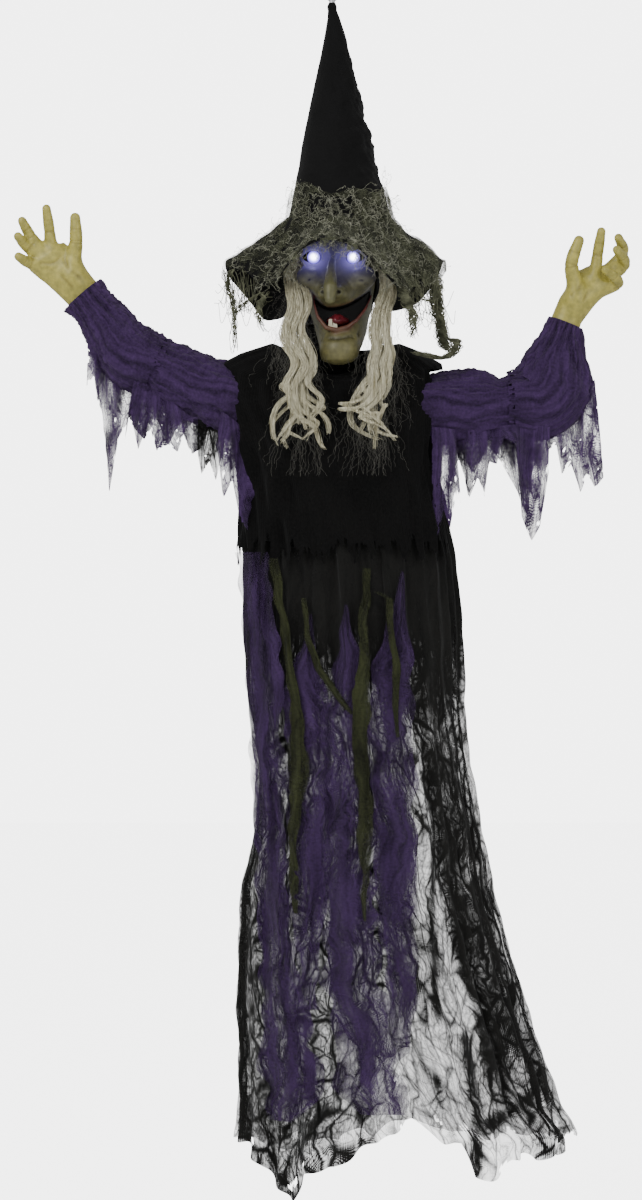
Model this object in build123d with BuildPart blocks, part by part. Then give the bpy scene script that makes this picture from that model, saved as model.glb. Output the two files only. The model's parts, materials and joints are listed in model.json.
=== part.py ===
"""Hanging animated witch figure: a turning head with a talking jaw and lit eyes, posable arms,
and a long gauze gown, hung from a steel ring over the hat's tip.

Frame: millimetres, +Z up, the figure faces -Y, and the origin is the centre of the hanging ring.
"Left" and "right" are the figure's own, so its right side is at -X."""

from build123d import *
import os
from math import acos, atan2, cos, hypot, pi, radians, sin, sqrt, tan

os.makedirs("parts", exist_ok=True)

# ---------------------------------------------------------------- driving dimensions
clearance = 0.3  # between pieces that are only near each other
running = 0.05  # radial play of a shaft in its hole
fixed_play = 0.02  # radial play of a fastener in the piece it holds

ring_bore_r = 6.0
ring_outer_r = 10.0
ring_thickness = 4.0
shank_r = 4.5
shank_bottom_z = -26.0
rod_r = 3.0
rod_top_z = -14.0

hat_tip_z = -10.0
hat_height = 335.0
hat_base_r = 79.0
hat_tip_r = 6.3
hat_lean = 10.0
hat_wall = 1.5
brim_r = 155.0
brim_thickness = 2.0

skull_top_z = -318.0
skull_height = 187.0
skull_half_width = 62.0
skull_half_depth = 82.0
skull_wall = 2.5
eye_spacing = 60.0
eye_z = -408.0
eye_centre_x = 2.0
eye_r = 10.0
chin_z = -569.0

jaw_axis_y = -5.0
jaw_rear_y = -14.0
jaw_axis_z = -455.0
jaw_pin_r = 3.0
jaw_ear_x = 34.0
jaw_ear_thickness = 3.0
bracket_ear_x = 40.0

torso_top_z = -592.0
torso_height = 246.0
torso_half_width = 120.0
torso_half_depth = 62.0
torso_corner_r = 40.0
torso_wall = 3.0
plate_top_z = -650.0
plate_thickness = 4.0
spindle_r = 8.0
spindle_bottom_z = -642.0

tooth_module = 1.0
head_gear_teeth = 60
head_pinion_teeth = 15
jaw_gear_teeth = 48
jaw_pinion_teeth = 15
gear_thickness = 6.0
gear_backlash = 0.16

shoulder_x = 165.0
right_shoulder_z = -607.0
left_shoulder_z = -620.0
upper_arm_length = 150.0
forearm_length = 125.0
arm_tube_r = 9.0
arm_pin_r = 4.0
lug_thickness = 5.0
fork_cheek = 5.0
wrist_peg_r = 5.0
right_wrist = (-385.0, -455.0)
left_wrist = (360.0, -498.0)

bodice_overhang = 5.0  # how far the bodice hangs below the torso shells
bodice_wall = 2.0
gown_wall = 2.5
hem_z = -1839.0

hat_base_z = hat_tip_z - hat_height
skull_bottom_z = skull_top_z - skull_height
torso_bottom_z = torso_top_z - torso_height
bodice_bottom_z = torso_bottom_z - bodice_overhang
plate_bottom_z = plate_top_z - plate_thickness


def finish(piece, name):
    """Label one finished piece and write its STEP file."""
    piece.part.label = name
    export_step(piece.part, f"parts/{name}.step")


def level(z):
    """Horizontal plane at height z."""
    return Plane.XY.offset(z)


def ellipse_loft(stations, shrink=0.0, ruled=False):
    """Loft through horizontal ellipses, each given as (z, centre x, centre y, half x, half y)."""
    sections = []
    for z, x, y, half_x, half_y in stations:
        with BuildSketch(level(z)) as section:
            with Locations((x, y)):
                Ellipse(half_x - shrink, half_y - shrink)
        sections.append(section.sketch)
    loft(sections, ruled=ruled)


# ---------------------------------------------------------------- hanging ring, rod and nuts
with BuildPart() as hanging_ring:
    with BuildSketch(Plane.XZ):
        Circle(ring_outer_r)
    extrude(amount=ring_thickness / 2, both=True)
    shank_top_z = -ring_bore_r - 1.5
    with BuildSketch(level(shank_top_z)):
        Circle(shank_r)
    extrude(amount=shank_bottom_z - shank_top_z)
    with BuildSketch(Plane.XZ):
        Circle(ring_bore_r)
    extrude(amount=shank_r * 2, both=True, mode=Mode.SUBTRACT)
    with BuildSketch(level(shank_bottom_z)):
        Circle(rod_r + fixed_play)
    extrude(amount=rod_top_z - shank_bottom_z, mode=Mode.SUBTRACT)
finish(hanging_ring, "hanging_ring")

nut_height = 5.0
nut_across_flats = 10.0
rod_bottom_z = plate_bottom_z - nut_height - 4.0
with BuildPart() as hanger_rod:
    with BuildSketch(level(rod_bottom_z)):
        Circle(rod_r)
    extrude(amount=rod_top_z - rod_bottom_z)
    chamfer(hanger_rod.edges().group_by(Axis.Z)[0], 0.6)
finish(hanger_rod, "hanger_rod")

with BuildPart() as rod_nuts:
    for nut_bottom_z in (plate_top_z, plate_bottom_z - nut_height):
        with BuildSketch(level(nut_bottom_z)):
            RegularPolygon(nut_across_flats / 2, 6, major_radius=False)
            Circle(rod_r + fixed_play, mode=Mode.SUBTRACT)
        extrude(amount=nut_height)
finish(rod_nuts, "rod_nuts")


# ---------------------------------------------------------------- gears
def gear_points(teeth, phase, first=0, count=None):
    """Outline of a stub-toothed involute spur gear. phase is the angle of a tooth's centre."""
    pitch_r = tooth_module * teeth / 2
    base_r = pitch_r * cos(radians(20))
    tip_r = pitch_r + 0.8 * tooth_module
    root_r = pitch_r - 1.0 * tooth_module
    half_at_pitch = (pi * tooth_module / 2 - gear_backlash) / 2 / pitch_r

    def half_angle(r):
        """Half the tooth's angular width at radius r, from the involute."""
        roll = acos(min(1.0, base_r / max(r, base_r)))
        roll_pitch = acos(base_r / pitch_r)
        return half_at_pitch + (tan(roll_pitch) - roll_pitch) - (tan(roll) - roll)

    radii = [root_r, max(root_r + 0.25, base_r), (base_r + tip_r) / 2, tip_r]
    points = []
    for tooth in range(first, first + (count or teeth)):
        centre = radians(phase) + 2 * pi * tooth / teeth
        for r in radii:
            points.append((r * cos(centre - half_angle(r)), r * sin(centre - half_angle(r))))
        for r in reversed(radii):
            points.append((r * cos(centre + half_angle(r)), r * sin(centre + half_angle(r))))
    return points


# ---------------------------------------------------------------- torso shells
bush_outer_r = spindle_r + 8.0
bush_flange_r = bush_outer_r + 4.0
bush_flange = 2.5
door_width = 62.0
door_depth = 50.0
door_centre_x = -46.0
door_centre_y = 31.0
door_thickness = 3.0
door_gap = 0.4
door_peg_r = 1.5
door_peg_length = 3.0
hinge_lug = 5.0
ledge_width = 4.0
ledge_height = 4.0
screw_r = 2.0
boss_r = 5.5
boss_x = torso_half_width - torso_wall - boss_r - 5.0
boss_zs = (plate_bottom_z - 14.0, torso_bottom_z + 22.0)
bracket_slot_z = plate_top_z + 26.0
bracket_height = 16.0
speaker_r = 28.0
speaker_z = plate_bottom_z - 60.0
speaker_x = 42.0
sensor_r = 4.8
sensor_x = -30.0
sensor_z = plate_bottom_z - 40.0
switch_x = 46.0
switch_y = 34.0
switch_travel = 4.0
knob_length = 7.0
knob_width = 4.0
door_hinge_y = door_centre_y + door_depth / 2 + door_gap
door_pivot_y = door_hinge_y - 4.0
door_pivot_drop = 1.5


def torso_sketch(inset):
    """Rounded rectangle of the torso, drawn in by inset."""
    RectangleRounded(2 * (torso_half_width - inset), 2 * (torso_half_depth - inset), torso_corner_r - inset)


def torso_cuts():
    """Openings that both torso shells share a part of."""
    with BuildSketch(level(torso_top_z + 1)) as neck_hole:
        Circle(bush_outer_r + fixed_play)
    extrude(neck_hole.sketch, amount=-torso_wall * 3, mode=Mode.SUBTRACT)
    for side in (-1, 1):
        with BuildSketch(Plane.YZ.offset(side * torso_half_width)) as bracket_slot:
            with Locations((0, bracket_slot_z)):
                Rectangle(lug_thickness + 2 * clearance, bracket_height + 2 * clearance)
        extrude(bracket_slot.sketch, amount=torso_wall * 3, both=True, mode=Mode.SUBTRACT)


with BuildPart() as torso_whole:
    with BuildSketch(level(torso_bottom_z)):
        torso_sketch(0)
    extrude(amount=torso_height)
    fillet(torso_whole.edges().group_by(Axis.Z)[-1], 14)
    with BuildSketch(level(torso_bottom_z + torso_wall)):
        torso_sketch(torso_wall)
    extrude(amount=torso_height - 2 * torso_wall - 12, mode=Mode.SUBTRACT)
    with BuildSketch(level(torso_top_z - torso_wall - 12)):
        torso_sketch(torso_wall)
    with BuildSketch(level(torso_top_z - torso_wall)):
        torso_sketch(torso_wall + 12)
    loft(mode=Mode.SUBTRACT)
    with BuildSketch(level(plate_bottom_z - ledge_height)):
        torso_sketch(torso_wall)
        torso_sketch_inner = torso_wall + ledge_width
        RectangleRounded(
            2 * (torso_half_width - torso_sketch_inner), 2 * (torso_half_depth - torso_sketch_inner),
            torso_corner_r - torso_sketch_inner, mode=Mode.SUBTRACT)
    extrude(amount=ledge_height)
    torso_cuts()

with BuildPart() as torso_front_shell:
    add(torso_whole.part)
    split(bisect_by=Plane.XZ, keep=Keep.TOP)
    for x in (-boss_x, boss_x):
        for z in boss_zs:
            with BuildSketch(Plane.XZ):
                with Locations((x, z)):
                    Circle(boss_r)
                    Circle(screw_r + fixed_play, mode=Mode.SUBTRACT)
            extrude(amount=torso_half_depth - torso_wall)
    speaker_slots = [(0, 0)] + [
        (r * cos(2 * pi * i / n), r * sin(2 * pi * i / n)) for r, n in ((9, 6), (18, 12)) for i in range(n)]
    with BuildSketch(Plane.XZ.offset(torso_half_depth)):
        with Locations((speaker_x, speaker_z)):
            with Locations(*speaker_slots):
                Circle(2.2)
        with Locations((sensor_x, sensor_z)):
            Circle(sensor_r + fixed_play)
    extrude(amount=-torso_wall * 3, mode=Mode.SUBTRACT)
finish(torso_front_shell, "torso_front_shell")

with BuildPart() as torso_back_shell:
    add(torso_whole.part)
    split(bisect_by=Plane.XZ, keep=Keep.BOTTOM)
    for x in (-boss_x, boss_x):
        for z in boss_zs:
            with BuildSketch(Plane.XZ):
                with Locations((x, z)):
                    Circle(boss_r)
            extrude(amount=-(torso_half_depth - torso_wall))
            with BuildSketch(Plane.XZ):
                with Locations((x, z)):
                    Circle(screw_r + fixed_play)
            extrude(amount=-torso_half_depth - 1, mode=Mode.SUBTRACT)
            with BuildSketch(Plane.XZ.offset(-torso_half_depth)):
                with Locations((x, z)):
                    Circle(screw_r * 2 + fixed_play)
            extrude(amount=4, mode=Mode.SUBTRACT)
    with BuildSketch(level(torso_bottom_z)):
        with Locations((door_centre_x, door_centre_y)):
            Rectangle(door_width + 2 * door_gap, door_depth + 2 * door_gap)
        with Locations((switch_x, switch_y)):
            Rectangle(knob_length + 2 * switch_travel + 2 * clearance, knob_width + 2 * clearance)
    extrude(amount=torso_wall * 2, both=True, mode=Mode.SUBTRACT)
    for side in (-1, 1):
        lug_x = door_centre_x + side * (door_width / 2 + door_gap)
        with BuildSketch(Plane.YZ.offset(lug_x)):
            with Locations((door_pivot_y, torso_bottom_z - door_pivot_drop)):
                Rectangle(9, 5)
            with Locations((door_pivot_y, torso_bottom_z - door_pivot_drop)):
                Circle(door_peg_r + running, mode=Mode.SUBTRACT)
        extrude(amount=side * hinge_lug)
finish(torso_back_shell, "torso_back_shell")

with BuildPart() as shell_screws:
    for x in (-boss_x, boss_x):
        for z in boss_zs:
            with BuildSketch(Plane.XZ.offset(-torso_half_depth)):
                with Locations((x, z)):
                    Circle(screw_r * 2)
            extrude(amount=3.9)
            with BuildSketch(Plane.XZ.offset(-torso_half_depth)):
                with Locations((x, z)):
                    Circle(screw_r)
            extrude(amount=torso_half_depth + 22)
            with BuildSketch(Plane.XZ.offset(-torso_half_depth)):
                with Locations((x, z)):
                    Rectangle(5.6, 1.0)
                    Rectangle(1.0, 5.6)
            extrude(amount=1.4, mode=Mode.SUBTRACT)
finish(shell_screws, "shell_screws")

# ---------------------------------------------------------------- neck bush, chest plate, motor
with BuildPart() as neck_bush:
    with BuildSketch(level(torso_top_z)):
        Circle(bush_flange_r)
    extrude(amount=bush_flange)
    with BuildSketch(level(torso_top_z)):
        Circle(bush_outer_r)
    extrude(amount=-torso_wall - 3)
    with BuildSketch(level(torso_top_z + bush_flange)):
        Circle(spindle_r + running)
    extrude(amount=-torso_wall * 4, mode=Mode.SUBTRACT)
    fillet(neck_bush.edges().group_by(Axis.Z)[-1].sort_by(SortBy.RADIUS)[-1], 1)
finish(neck_bush, "neck_bush")

gear_distance = tooth_module * (head_gear_teeth + head_pinion_teeth) / 2
gear_bottom_z = spindle_bottom_z + 2.0
motor_shaft_r = 2.0
motor_size = (36.0, 30.0, 46.0)
motor_boss_r = 7.0
motor_x = gear_distance

with BuildPart() as chest_plate:
    plate_inset = torso_wall + clearance
    with BuildSketch(level(plate_bottom_z)):
        torso_sketch(plate_inset)
        Circle(rod_r + fixed_play, mode=Mode.SUBTRACT)
        with Locations((motor_x, 0)):
            Circle(motor_boss_r + fixed_play, mode=Mode.SUBTRACT)
    extrude(amount=plate_thickness)
    for side in (-1, 1):
        stand_x = side * (torso_half_width - 36)
        stand_top = bracket_slot_z + bracket_height / 2 + 4
        for y_side in (-1, 1):
            stand_y = y_side * (lug_thickness / 2 + clearance + 2.5)
            with BuildSketch(level(plate_top_z)):
                with Locations((stand_x, stand_y)):
                    Rectangle(30, 5)
            extrude(amount=stand_top - plate_top_z)
        with BuildSketch(Plane.XZ):
            with Locations((stand_x, bracket_slot_z)):
                Circle(screw_r + fixed_play)
        extrude(amount=20, both=True, mode=Mode.SUBTRACT)
finish(chest_plate, "chest_plate")

with BuildPart() as head_motor:
    with BuildSketch(level(plate_bottom_z)):
        with Locations((motor_x, 0)):
            RectangleRounded(motor_size[0], motor_size[1], 4)
    extrude(amount=-motor_size[2] / 2)
    with BuildSketch(level(plate_bottom_z - motor_size[2] / 2)):
        with Locations((motor_x, 0)):
            Circle(12)
    extrude(amount=-motor_size[2] / 2)
    with BuildSketch(level(plate_bottom_z)):
        with Locations((motor_x, 0)):
            Circle(motor_boss_r)
    extrude(amount=plate_thickness)
    with BuildSketch(level(plate_top_z)):
        with Locations((motor_x, 0)):
            Circle(motor_shaft_r + running)
    extrude(amount=-14, mode=Mode.SUBTRACT)
finish(head_motor, "head_motor")

with BuildPart() as head_pinion:
    with BuildSketch(level(gear_bottom_z)):
        with Locations((motor_x, 0)):
            Polygon(*gear_points(head_pinion_teeth, 180 - 180 / head_pinion_teeth), align=None)
    extrude(amount=gear_thickness)
    with BuildSketch(level(plate_top_z - 12)):
        with Locations((motor_x, 0)):
            Circle(motor_shaft_r)
    extrude(amount=gear_bottom_z + gear_thickness + 1 - (plate_top_z - 12))
finish(head_pinion, "head_pinion")

# ---------------------------------------------------------------- batteries, door and switch
cell_r = 7.25
cell_length = 50.5
cell_pitch = 15.6
box_wall = 1.6
box_length = 60.0
box_depth = 3 * cell_pitch + 2 * box_wall
door_swing_r = hypot(door_centre_y + door_depth / 2 - door_pivot_y, door_thickness + door_pivot_drop)
box_floor_z = torso_bottom_z - door_pivot_drop + door_swing_r + clearance
box_height = 2 * cell_r + 1.2
cell_z = box_floor_z + cell_r + 0.4

with BuildPart() as battery_box:
    with BuildSketch(level(box_floor_z)):
        with Locations((door_centre_x, door_centre_y)):
            Rectangle(box_length, box_depth)
    extrude(amount=box_height + box_wall)
    with BuildSketch(level(box_floor_z)):
        with Locations((door_centre_x, door_centre_y)):
            Rectangle(box_length - 2 * box_wall, box_depth - 2 * box_wall)
    extrude(amount=box_height, mode=Mode.SUBTRACT)
finish(battery_box, "battery_box")

with BuildPart() as battery_cells:
    for i in (-1, 0, 1):
        cell_y = door_centre_y + i * cell_pitch
        direction = -1 if i == 0 else 1
        with BuildSketch(Plane.YZ.offset(door_centre_x - direction * (cell_length / 2))):
            with Locations((cell_y, cell_z)):
                Circle(cell_r)
        extrude(amount=direction * (cell_length - 1.2))
        with BuildSketch(Plane.YZ.offset(door_centre_x + direction * (cell_length / 2 - 1.2))):
            with Locations((cell_y, cell_z)):
                Circle(2.7)
        extrude(amount=direction * 1.2)
finish(battery_cells, "battery_cells")

with BuildPart() as battery_contacts:
    for i in (-1, 0, 1):
        cell_y = door_centre_y + i * cell_pitch
        for side in (-1, 1):
            plate_x = door_centre_x + side * (box_length / 2 - box_wall - 0.5)
            with BuildSketch(Plane.YZ.offset(plate_x)):
                with Locations((cell_y, cell_z)):
                    RectangleRounded(11, 11, 1.5)
            extrude(amount=-side * 0.5)
            for turn in range(3):
                coil_x = plate_x - side * (0.5 + 0.7 * turn)
                with BuildSketch(Plane.YZ.offset(coil_x)):
                    with Locations((cell_y, cell_z)):
                        Circle(4.2 - 0.7 * turn)
                        Circle(3.3 - 0.7 * turn, mode=Mode.SUBTRACT)
                extrude(amount=-side * 0.7)
finish(battery_contacts, "battery_contacts")

with BuildPart() as battery_door:
    with BuildSketch(level(torso_bottom_z)):
        with Locations((door_centre_x, door_centre_y)):
            Rectangle(door_width, door_depth)
    extrude(amount=door_thickness)
    with BuildSketch(level(torso_bottom_z)):
        with Locations((door_centre_x, door_centre_y - door_depth / 2 + 6)):
            SlotOverall(18, 6)
    extrude(amount=1.0, mode=Mode.SUBTRACT)
    with BuildSketch(level(torso_bottom_z)):
        with Locations((door_centre_x, door_pivot_y)):
            Rectangle(door_width, 4)
    extrude(amount=-3)
    with BuildSketch(Plane.YZ.offset(door_centre_x)):
        with Locations((door_pivot_y, torso_bottom_z - door_pivot_drop)):
            Circle(door_peg_r)
    extrude(amount=door_width / 2 + door_peg_length, both=True)
finish(battery_door, "battery_door")

with BuildPart() as switch_slider:
    with BuildSketch(level(torso_bottom_z - 2)):
        with Locations((switch_x, switch_y)):
            Rectangle(knob_length, knob_width)
    extrude(amount=torso_wall + 4)
    with BuildSketch(level(torso_bottom_z - 2)):
        with Locations((switch_x, switch_y)):
            with GridLocations(2, 1, 3, 1):
                Rectangle(0.6, knob_width)
    extrude(amount=0.5, mode=Mode.SUBTRACT)
finish(switch_slider, "switch_slider")

board_thickness = 1.6
board_y = 8.0
with BuildPart() as circuit_board:
    with BuildSketch(level(torso_bottom_z + torso_wall + 4)):
        with Locations((switch_x, switch_y)):
            Rectangle(22, 14)
            Rectangle(knob_length + 2 * switch_travel + 1, knob_width + 1, mode=Mode.SUBTRACT)
    extrude(amount=5)
    with BuildSketch(level(torso_bottom_z + torso_wall + 9)):
        with Locations((switch_x, board_y + 22)):
            Rectangle(76, 48)
    extrude(amount=board_thickness)
    board_top_z = torso_bottom_z + torso_wall + 9 + board_thickness
    for x, y, w, d, h in ((-18, -6, 14, 14, 2.5), (8, -12, 9, 6, 1.8), (22, 6, 8, 8, 9), (-4, 10, 12, 5, 2),
                          (28, -12, 6, 6, 6), (-28, 12, 7, 7, 7)):
        with BuildSketch(level(board_top_z)):
            with Locations((switch_x + x, board_y + 22 + y)):
                Rectangle(w, d)
        extrude(amount=h)
finish(circuit_board, "circuit_board")

with BuildPart() as speaker:
    cone_y = torso_half_depth - torso_wall
    with BuildSketch(Plane.XZ.offset(cone_y)):
        with Locations((speaker_x, speaker_z)):
            Circle(speaker_r)
    extrude(amount=-4)
    with BuildSketch(Plane.XZ.offset(cone_y - 4)):
        with Locations((speaker_x, speaker_z)):
            Circle(speaker_r - 4)
    extrude(amount=-9, taper=35)
    with BuildSketch(Plane.XZ.offset(cone_y - 13)):
        with Locations((speaker_x, speaker_z)):
            Circle(13)
    extrude(amount=-8)
    with BuildSketch(Plane.XZ.offset(cone_y)):
        with Locations((speaker_x, speaker_z)):
            Circle(speaker_r - 5)
    extrude(amount=-3, taper=40, mode=Mode.SUBTRACT)
finish(speaker, "speaker")

with BuildPart() as sound_sensor:
    with BuildSketch(Plane.XZ.offset(torso_half_depth)):
        with Locations((sensor_x, sensor_z)):
            Circle(sensor_r)
    extrude(amount=-8)
    with BuildSketch(Plane.XZ.offset(torso_half_depth)):
        with Locations((sensor_x, sensor_z)):
            with PolarLocations(2.2, 4):
                Circle(0.6)
    extrude(amount=-1, mode=Mode.SUBTRACT)
finish(sound_sensor, "sound_sensor")

# ---------------------------------------------------------------- head: spindle, gear, skull, mask
flange_r = 24.0
flange_thickness = 3.0
spindle_top_z = skull_bottom_z + skull_wall + flange_thickness
with BuildPart() as head_spindle:
    with BuildSketch(level(spindle_bottom_z)):
        Circle(spindle_r)
    extrude(amount=spindle_top_z - spindle_bottom_z)
    with BuildSketch(level(spindle_top_z - flange_thickness)):
        Circle(flange_r)
    extrude(amount=flange_thickness)
    with BuildSketch(level(spindle_bottom_z)):
        Circle(rod_r + running)
    extrude(amount=spindle_top_z - spindle_bottom_z, mode=Mode.SUBTRACT)
finish(head_spindle, "head_spindle")

with BuildPart() as head_gear:
    with BuildSketch(level(gear_bottom_z)):
        Polygon(*gear_points(head_gear_teeth, 0), align=None)
        Circle(spindle_r + fixed_play, mode=Mode.SUBTRACT)
        with PolarLocations(19, 6):
            Circle(5, mode=Mode.SUBTRACT)
    extrude(amount=gear_thickness)
    with BuildSketch(level(gear_bottom_z + gear_thickness)):
        Circle(spindle_r + 4)
        Circle(spindle_r + fixed_play, mode=Mode.SUBTRACT)
    extrude(amount=4)
finish(head_gear, "head_gear")

# The skull's outline: share of its height from the top, width share, depth share, centre y.
skull_outline = ((0.0, 0.5, 0.46, 0), (0.12, 0.86, 0.8, 0), (0.3, 1.0, 0.97, 0), (0.52, 1.0, 1.0, 0),
                 (0.71, 0.93, 0.92, -2), (0.87, 0.84, 0.82, -2), (1.0, 0.68, 0.6, 2))
skull_stations = [
    (skull_top_z - share * skull_height, eye_centre_x, y, skull_half_width * w, skull_half_depth * d)
    for share, w, d, y in skull_outline]
inner_stations = [(z, x, y, a - skull_wall, b - skull_wall) for z, x, y, a, b in skull_stations]
inner_stations[0] = (skull_top_z - skull_wall,) + inner_stations[0][1:]
inner_stations[-1] = (skull_bottom_z + skull_wall,) + inner_stations[-1][1:]
skull_split_y = -4.0
skull_screw_r = 1.5
skull_boss_r = 4.0
skull_screw_depth = 14.0
skull_screw_seat_y = 14.0
skull_screw_places = [
    (eye_centre_x + side * x, z) for side in (-1, 1) for x, z in ((skull_half_width - 5.5, -385), (50, -462))]

with BuildPart() as skull_inside:
    ellipse_loft(inner_stations)
with BuildPart() as skull_whole:
    ellipse_loft(skull_stations)
    add(skull_inside.part, mode=Mode.SUBTRACT)
    with BuildSketch(level(skull_top_z + 1)):
        Circle(rod_r * 2)
    extrude(amount=-2 * skull_wall - 1, mode=Mode.SUBTRACT)
    with BuildSketch(level(skull_bottom_z - 1)):
        Circle(spindle_r + fixed_play)
    extrude(amount=skull_wall + 2, mode=Mode.SUBTRACT)
    with BuildSketch(level(skull_bottom_z - 1)):
        with Locations((-jaw_ear_x, -12), (jaw_ear_x, -12)):
            Rectangle(jaw_ear_thickness + 2.4, 50)
    extrude(amount=skull_wall + 2, mode=Mode.SUBTRACT)
    with BuildSketch(Plane.XZ.offset(-skull_screw_seat_y)):
        with Locations(*skull_screw_places):
            Circle(skull_boss_r)
    extrude(amount=skull_screw_seat_y - skull_split_y + skull_screw_depth)
    with BuildSketch(Plane.XZ.offset(-skull_screw_seat_y)):
        with Locations(*skull_screw_places):
            Circle(skull_screw_r + fixed_play)
    extrude(amount=60, both=True, mode=Mode.SUBTRACT)
    with BuildSketch(Plane.XZ.offset(-skull_screw_seat_y)):
        with Locations(*skull_screw_places):
            Circle(skull_boss_r - 0.6)
    extrude(amount=-60, mode=Mode.SUBTRACT)

with BuildPart() as skull_shell:
    add(skull_whole.part)
    split(bisect_by=Plane.XZ.offset(-skull_split_y), keep=Keep.BOTTOM)
finish(skull_shell, "skull_shell")

mouth_top_z = -481.0
mouth_left_x = 50.0
mouth_right_x = -40.0
eye_xs = (eye_centre_x - eye_spacing / 2, eye_centre_x + eye_spacing / 2)
nose_stations = ((eye_centre_x - 2, -76, -412, 8), (eye_centre_x - 4, -98, -437, 11),
                 (eye_centre_x - 5, -122, -458, 13), (eye_centre_x - 6, -136, -474, 7))
with BuildPart() as nose_block:
    for x, y, z, r in nose_stations:
        with BuildSketch(Plane(origin=(x, y, z), x_dir=(1, 0, 0), z_dir=(0, -0.7, -0.7))):
            Circle(r)
    loft()
    add(skull_inside.part, mode=Mode.SUBTRACT)

with BuildPart() as mask_face:
    add(skull_whole.part)
    split(bisect_by=Plane.XZ.offset(-skull_split_y), keep=Keep.TOP)
    with BuildSketch(Plane.XZ.offset(-jaw_rear_y)):
        with Locations(((mouth_left_x + mouth_right_x) / 2, mouth_top_z - 30)):
            Rectangle(mouth_left_x - mouth_right_x, 60)
    extrude(amount=100, mode=Mode.SUBTRACT)
    jaw_room_depth = 40.0
    with BuildSketch(level(skull_bottom_z - 1)):
        with Locations((0, skull_split_y - jaw_room_depth / 2)):
            Rectangle(2 * (jaw_ear_x + jaw_ear_thickness + 2), jaw_room_depth)
    extrude(amount=skull_wall + 2, mode=Mode.SUBTRACT)
    add(nose_block.part)
    with BuildSketch(Plane.XZ.offset(20)):
        with Locations(*[(x, eye_z) for x in eye_xs]):
            Circle(eye_r + fixed_play)
    extrude(amount=100, mode=Mode.SUBTRACT)
finish(mask_face, "mask_face")

with BuildPart() as skull_screws:
    with BuildSketch(Plane.XZ.offset(-skull_screw_seat_y)):
        with Locations(*skull_screw_places):
            Circle(skull_screw_r)
    extrude(amount=skull_screw_seat_y - skull_split_y + skull_screw_depth - 1)
    with BuildSketch(Plane.XZ.offset(-skull_screw_seat_y)):
        with Locations(*skull_screw_places):
            Circle(skull_boss_r - 1)
    extrude(amount=-2)
finish(skull_screws, "skull_screws")

eye_front_y = -skull_half_depth * sqrt(1 - (eye_spacing / 2 / skull_half_width) ** 2)
lens_wall = 1.6
lens_depth = 8.0
with BuildPart() as eye_lenses:
    for x in eye_xs:
        with BuildSketch(Plane.XZ.offset(-eye_front_y - lens_depth)):
            with Locations((x, eye_z)):
                Circle(eye_r)
        extrude(amount=lens_depth)
        with Locations((x, eye_front_y, eye_z)):
            Sphere(eye_r - 0.1)
        with BuildSketch(Plane.XZ.offset(-eye_front_y - 2 * lens_depth)):
            with Locations((x, eye_z)):
                Circle(eye_r - lens_wall)
        extrude(amount=2 * lens_depth, mode=Mode.SUBTRACT)
        with Locations((x, eye_front_y, eye_z)):
            Sphere(eye_r - lens_wall - 0.1, mode=Mode.SUBTRACT)
finish(eye_lenses, "eye_lenses")

led_r = 2.5
led_length = 8.0
led_holder_depth = 3.0
with BuildPart() as eye_leds:
    for x in eye_xs:
        with BuildSketch(Plane.XZ.offset(-eye_front_y - lens_depth)):
            with Locations((x, eye_z)):
                Circle(led_r)
        extrude(amount=led_length)
        with Locations((x, eye_front_y + lens_depth - led_length, eye_z)):
            Sphere(led_r)
        with BuildSketch(Plane.XZ.offset(-eye_front_y - lens_depth)):
            with Locations((x, eye_z)):
                Circle(eye_r - lens_wall - clearance)
        extrude(amount=led_holder_depth)
finish(eye_leds, "eye_leds")

# ---------------------------------------------------------------- jaw and its drive
jaw_gear_x = jaw_ear_x - jaw_ear_thickness / 2 - clearance - gear_thickness / 2
jaw_gear_distance = tooth_module * (jaw_gear_teeth + jaw_pinion_teeth) / 2
bracket_plate_z = jaw_axis_z + jaw_gear_distance + 14.0
bracket_thickness = 3.0
jaw_motor_length = 30.0

with BuildPart() as jaw_bracket:
    with BuildSketch(level(bracket_plate_z)):
        with Locations((0, jaw_axis_y + 6)):
            RectangleRounded(2 * (bracket_ear_x + bracket_thickness), 34, 3)
        Circle(rod_r * 2, mode=Mode.SUBTRACT)
    extrude(amount=bracket_thickness)
    for side in (-1, 1):
        with BuildSketch(Plane.YZ.offset(side * bracket_ear_x)):
            with Locations((jaw_axis_y, (bracket_plate_z + jaw_axis_z) / 2)):
                Rectangle(14, bracket_plate_z - jaw_axis_z)
            with Locations((jaw_axis_y, jaw_axis_z)):
                Circle(7)
                Circle(jaw_pin_r + fixed_play, mode=Mode.SUBTRACT)
        extrude(amount=side * bracket_thickness)
finish(jaw_bracket, "jaw_bracket")

with BuildPart() as jaw_hinge_pins:
    pin_inner_x = jaw_gear_x - gear_thickness / 2 - 2
    for side in (-1, 1):
        with BuildSketch(Plane.YZ.offset(side * pin_inner_x)):
            with Locations((jaw_axis_y, jaw_axis_z)):
                Circle(jaw_pin_r)
        extrude(amount=side * (bracket_ear_x + bracket_thickness - pin_inner_x))
        with BuildSketch(Plane.YZ.offset(side * (bracket_ear_x + bracket_thickness))):
            with Locations((jaw_axis_y, jaw_axis_z)):
                Circle(jaw_pin_r + 1.5)
        extrude(amount=side * 1.5)
finish(jaw_hinge_pins, "jaw_hinge_pins")

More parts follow.
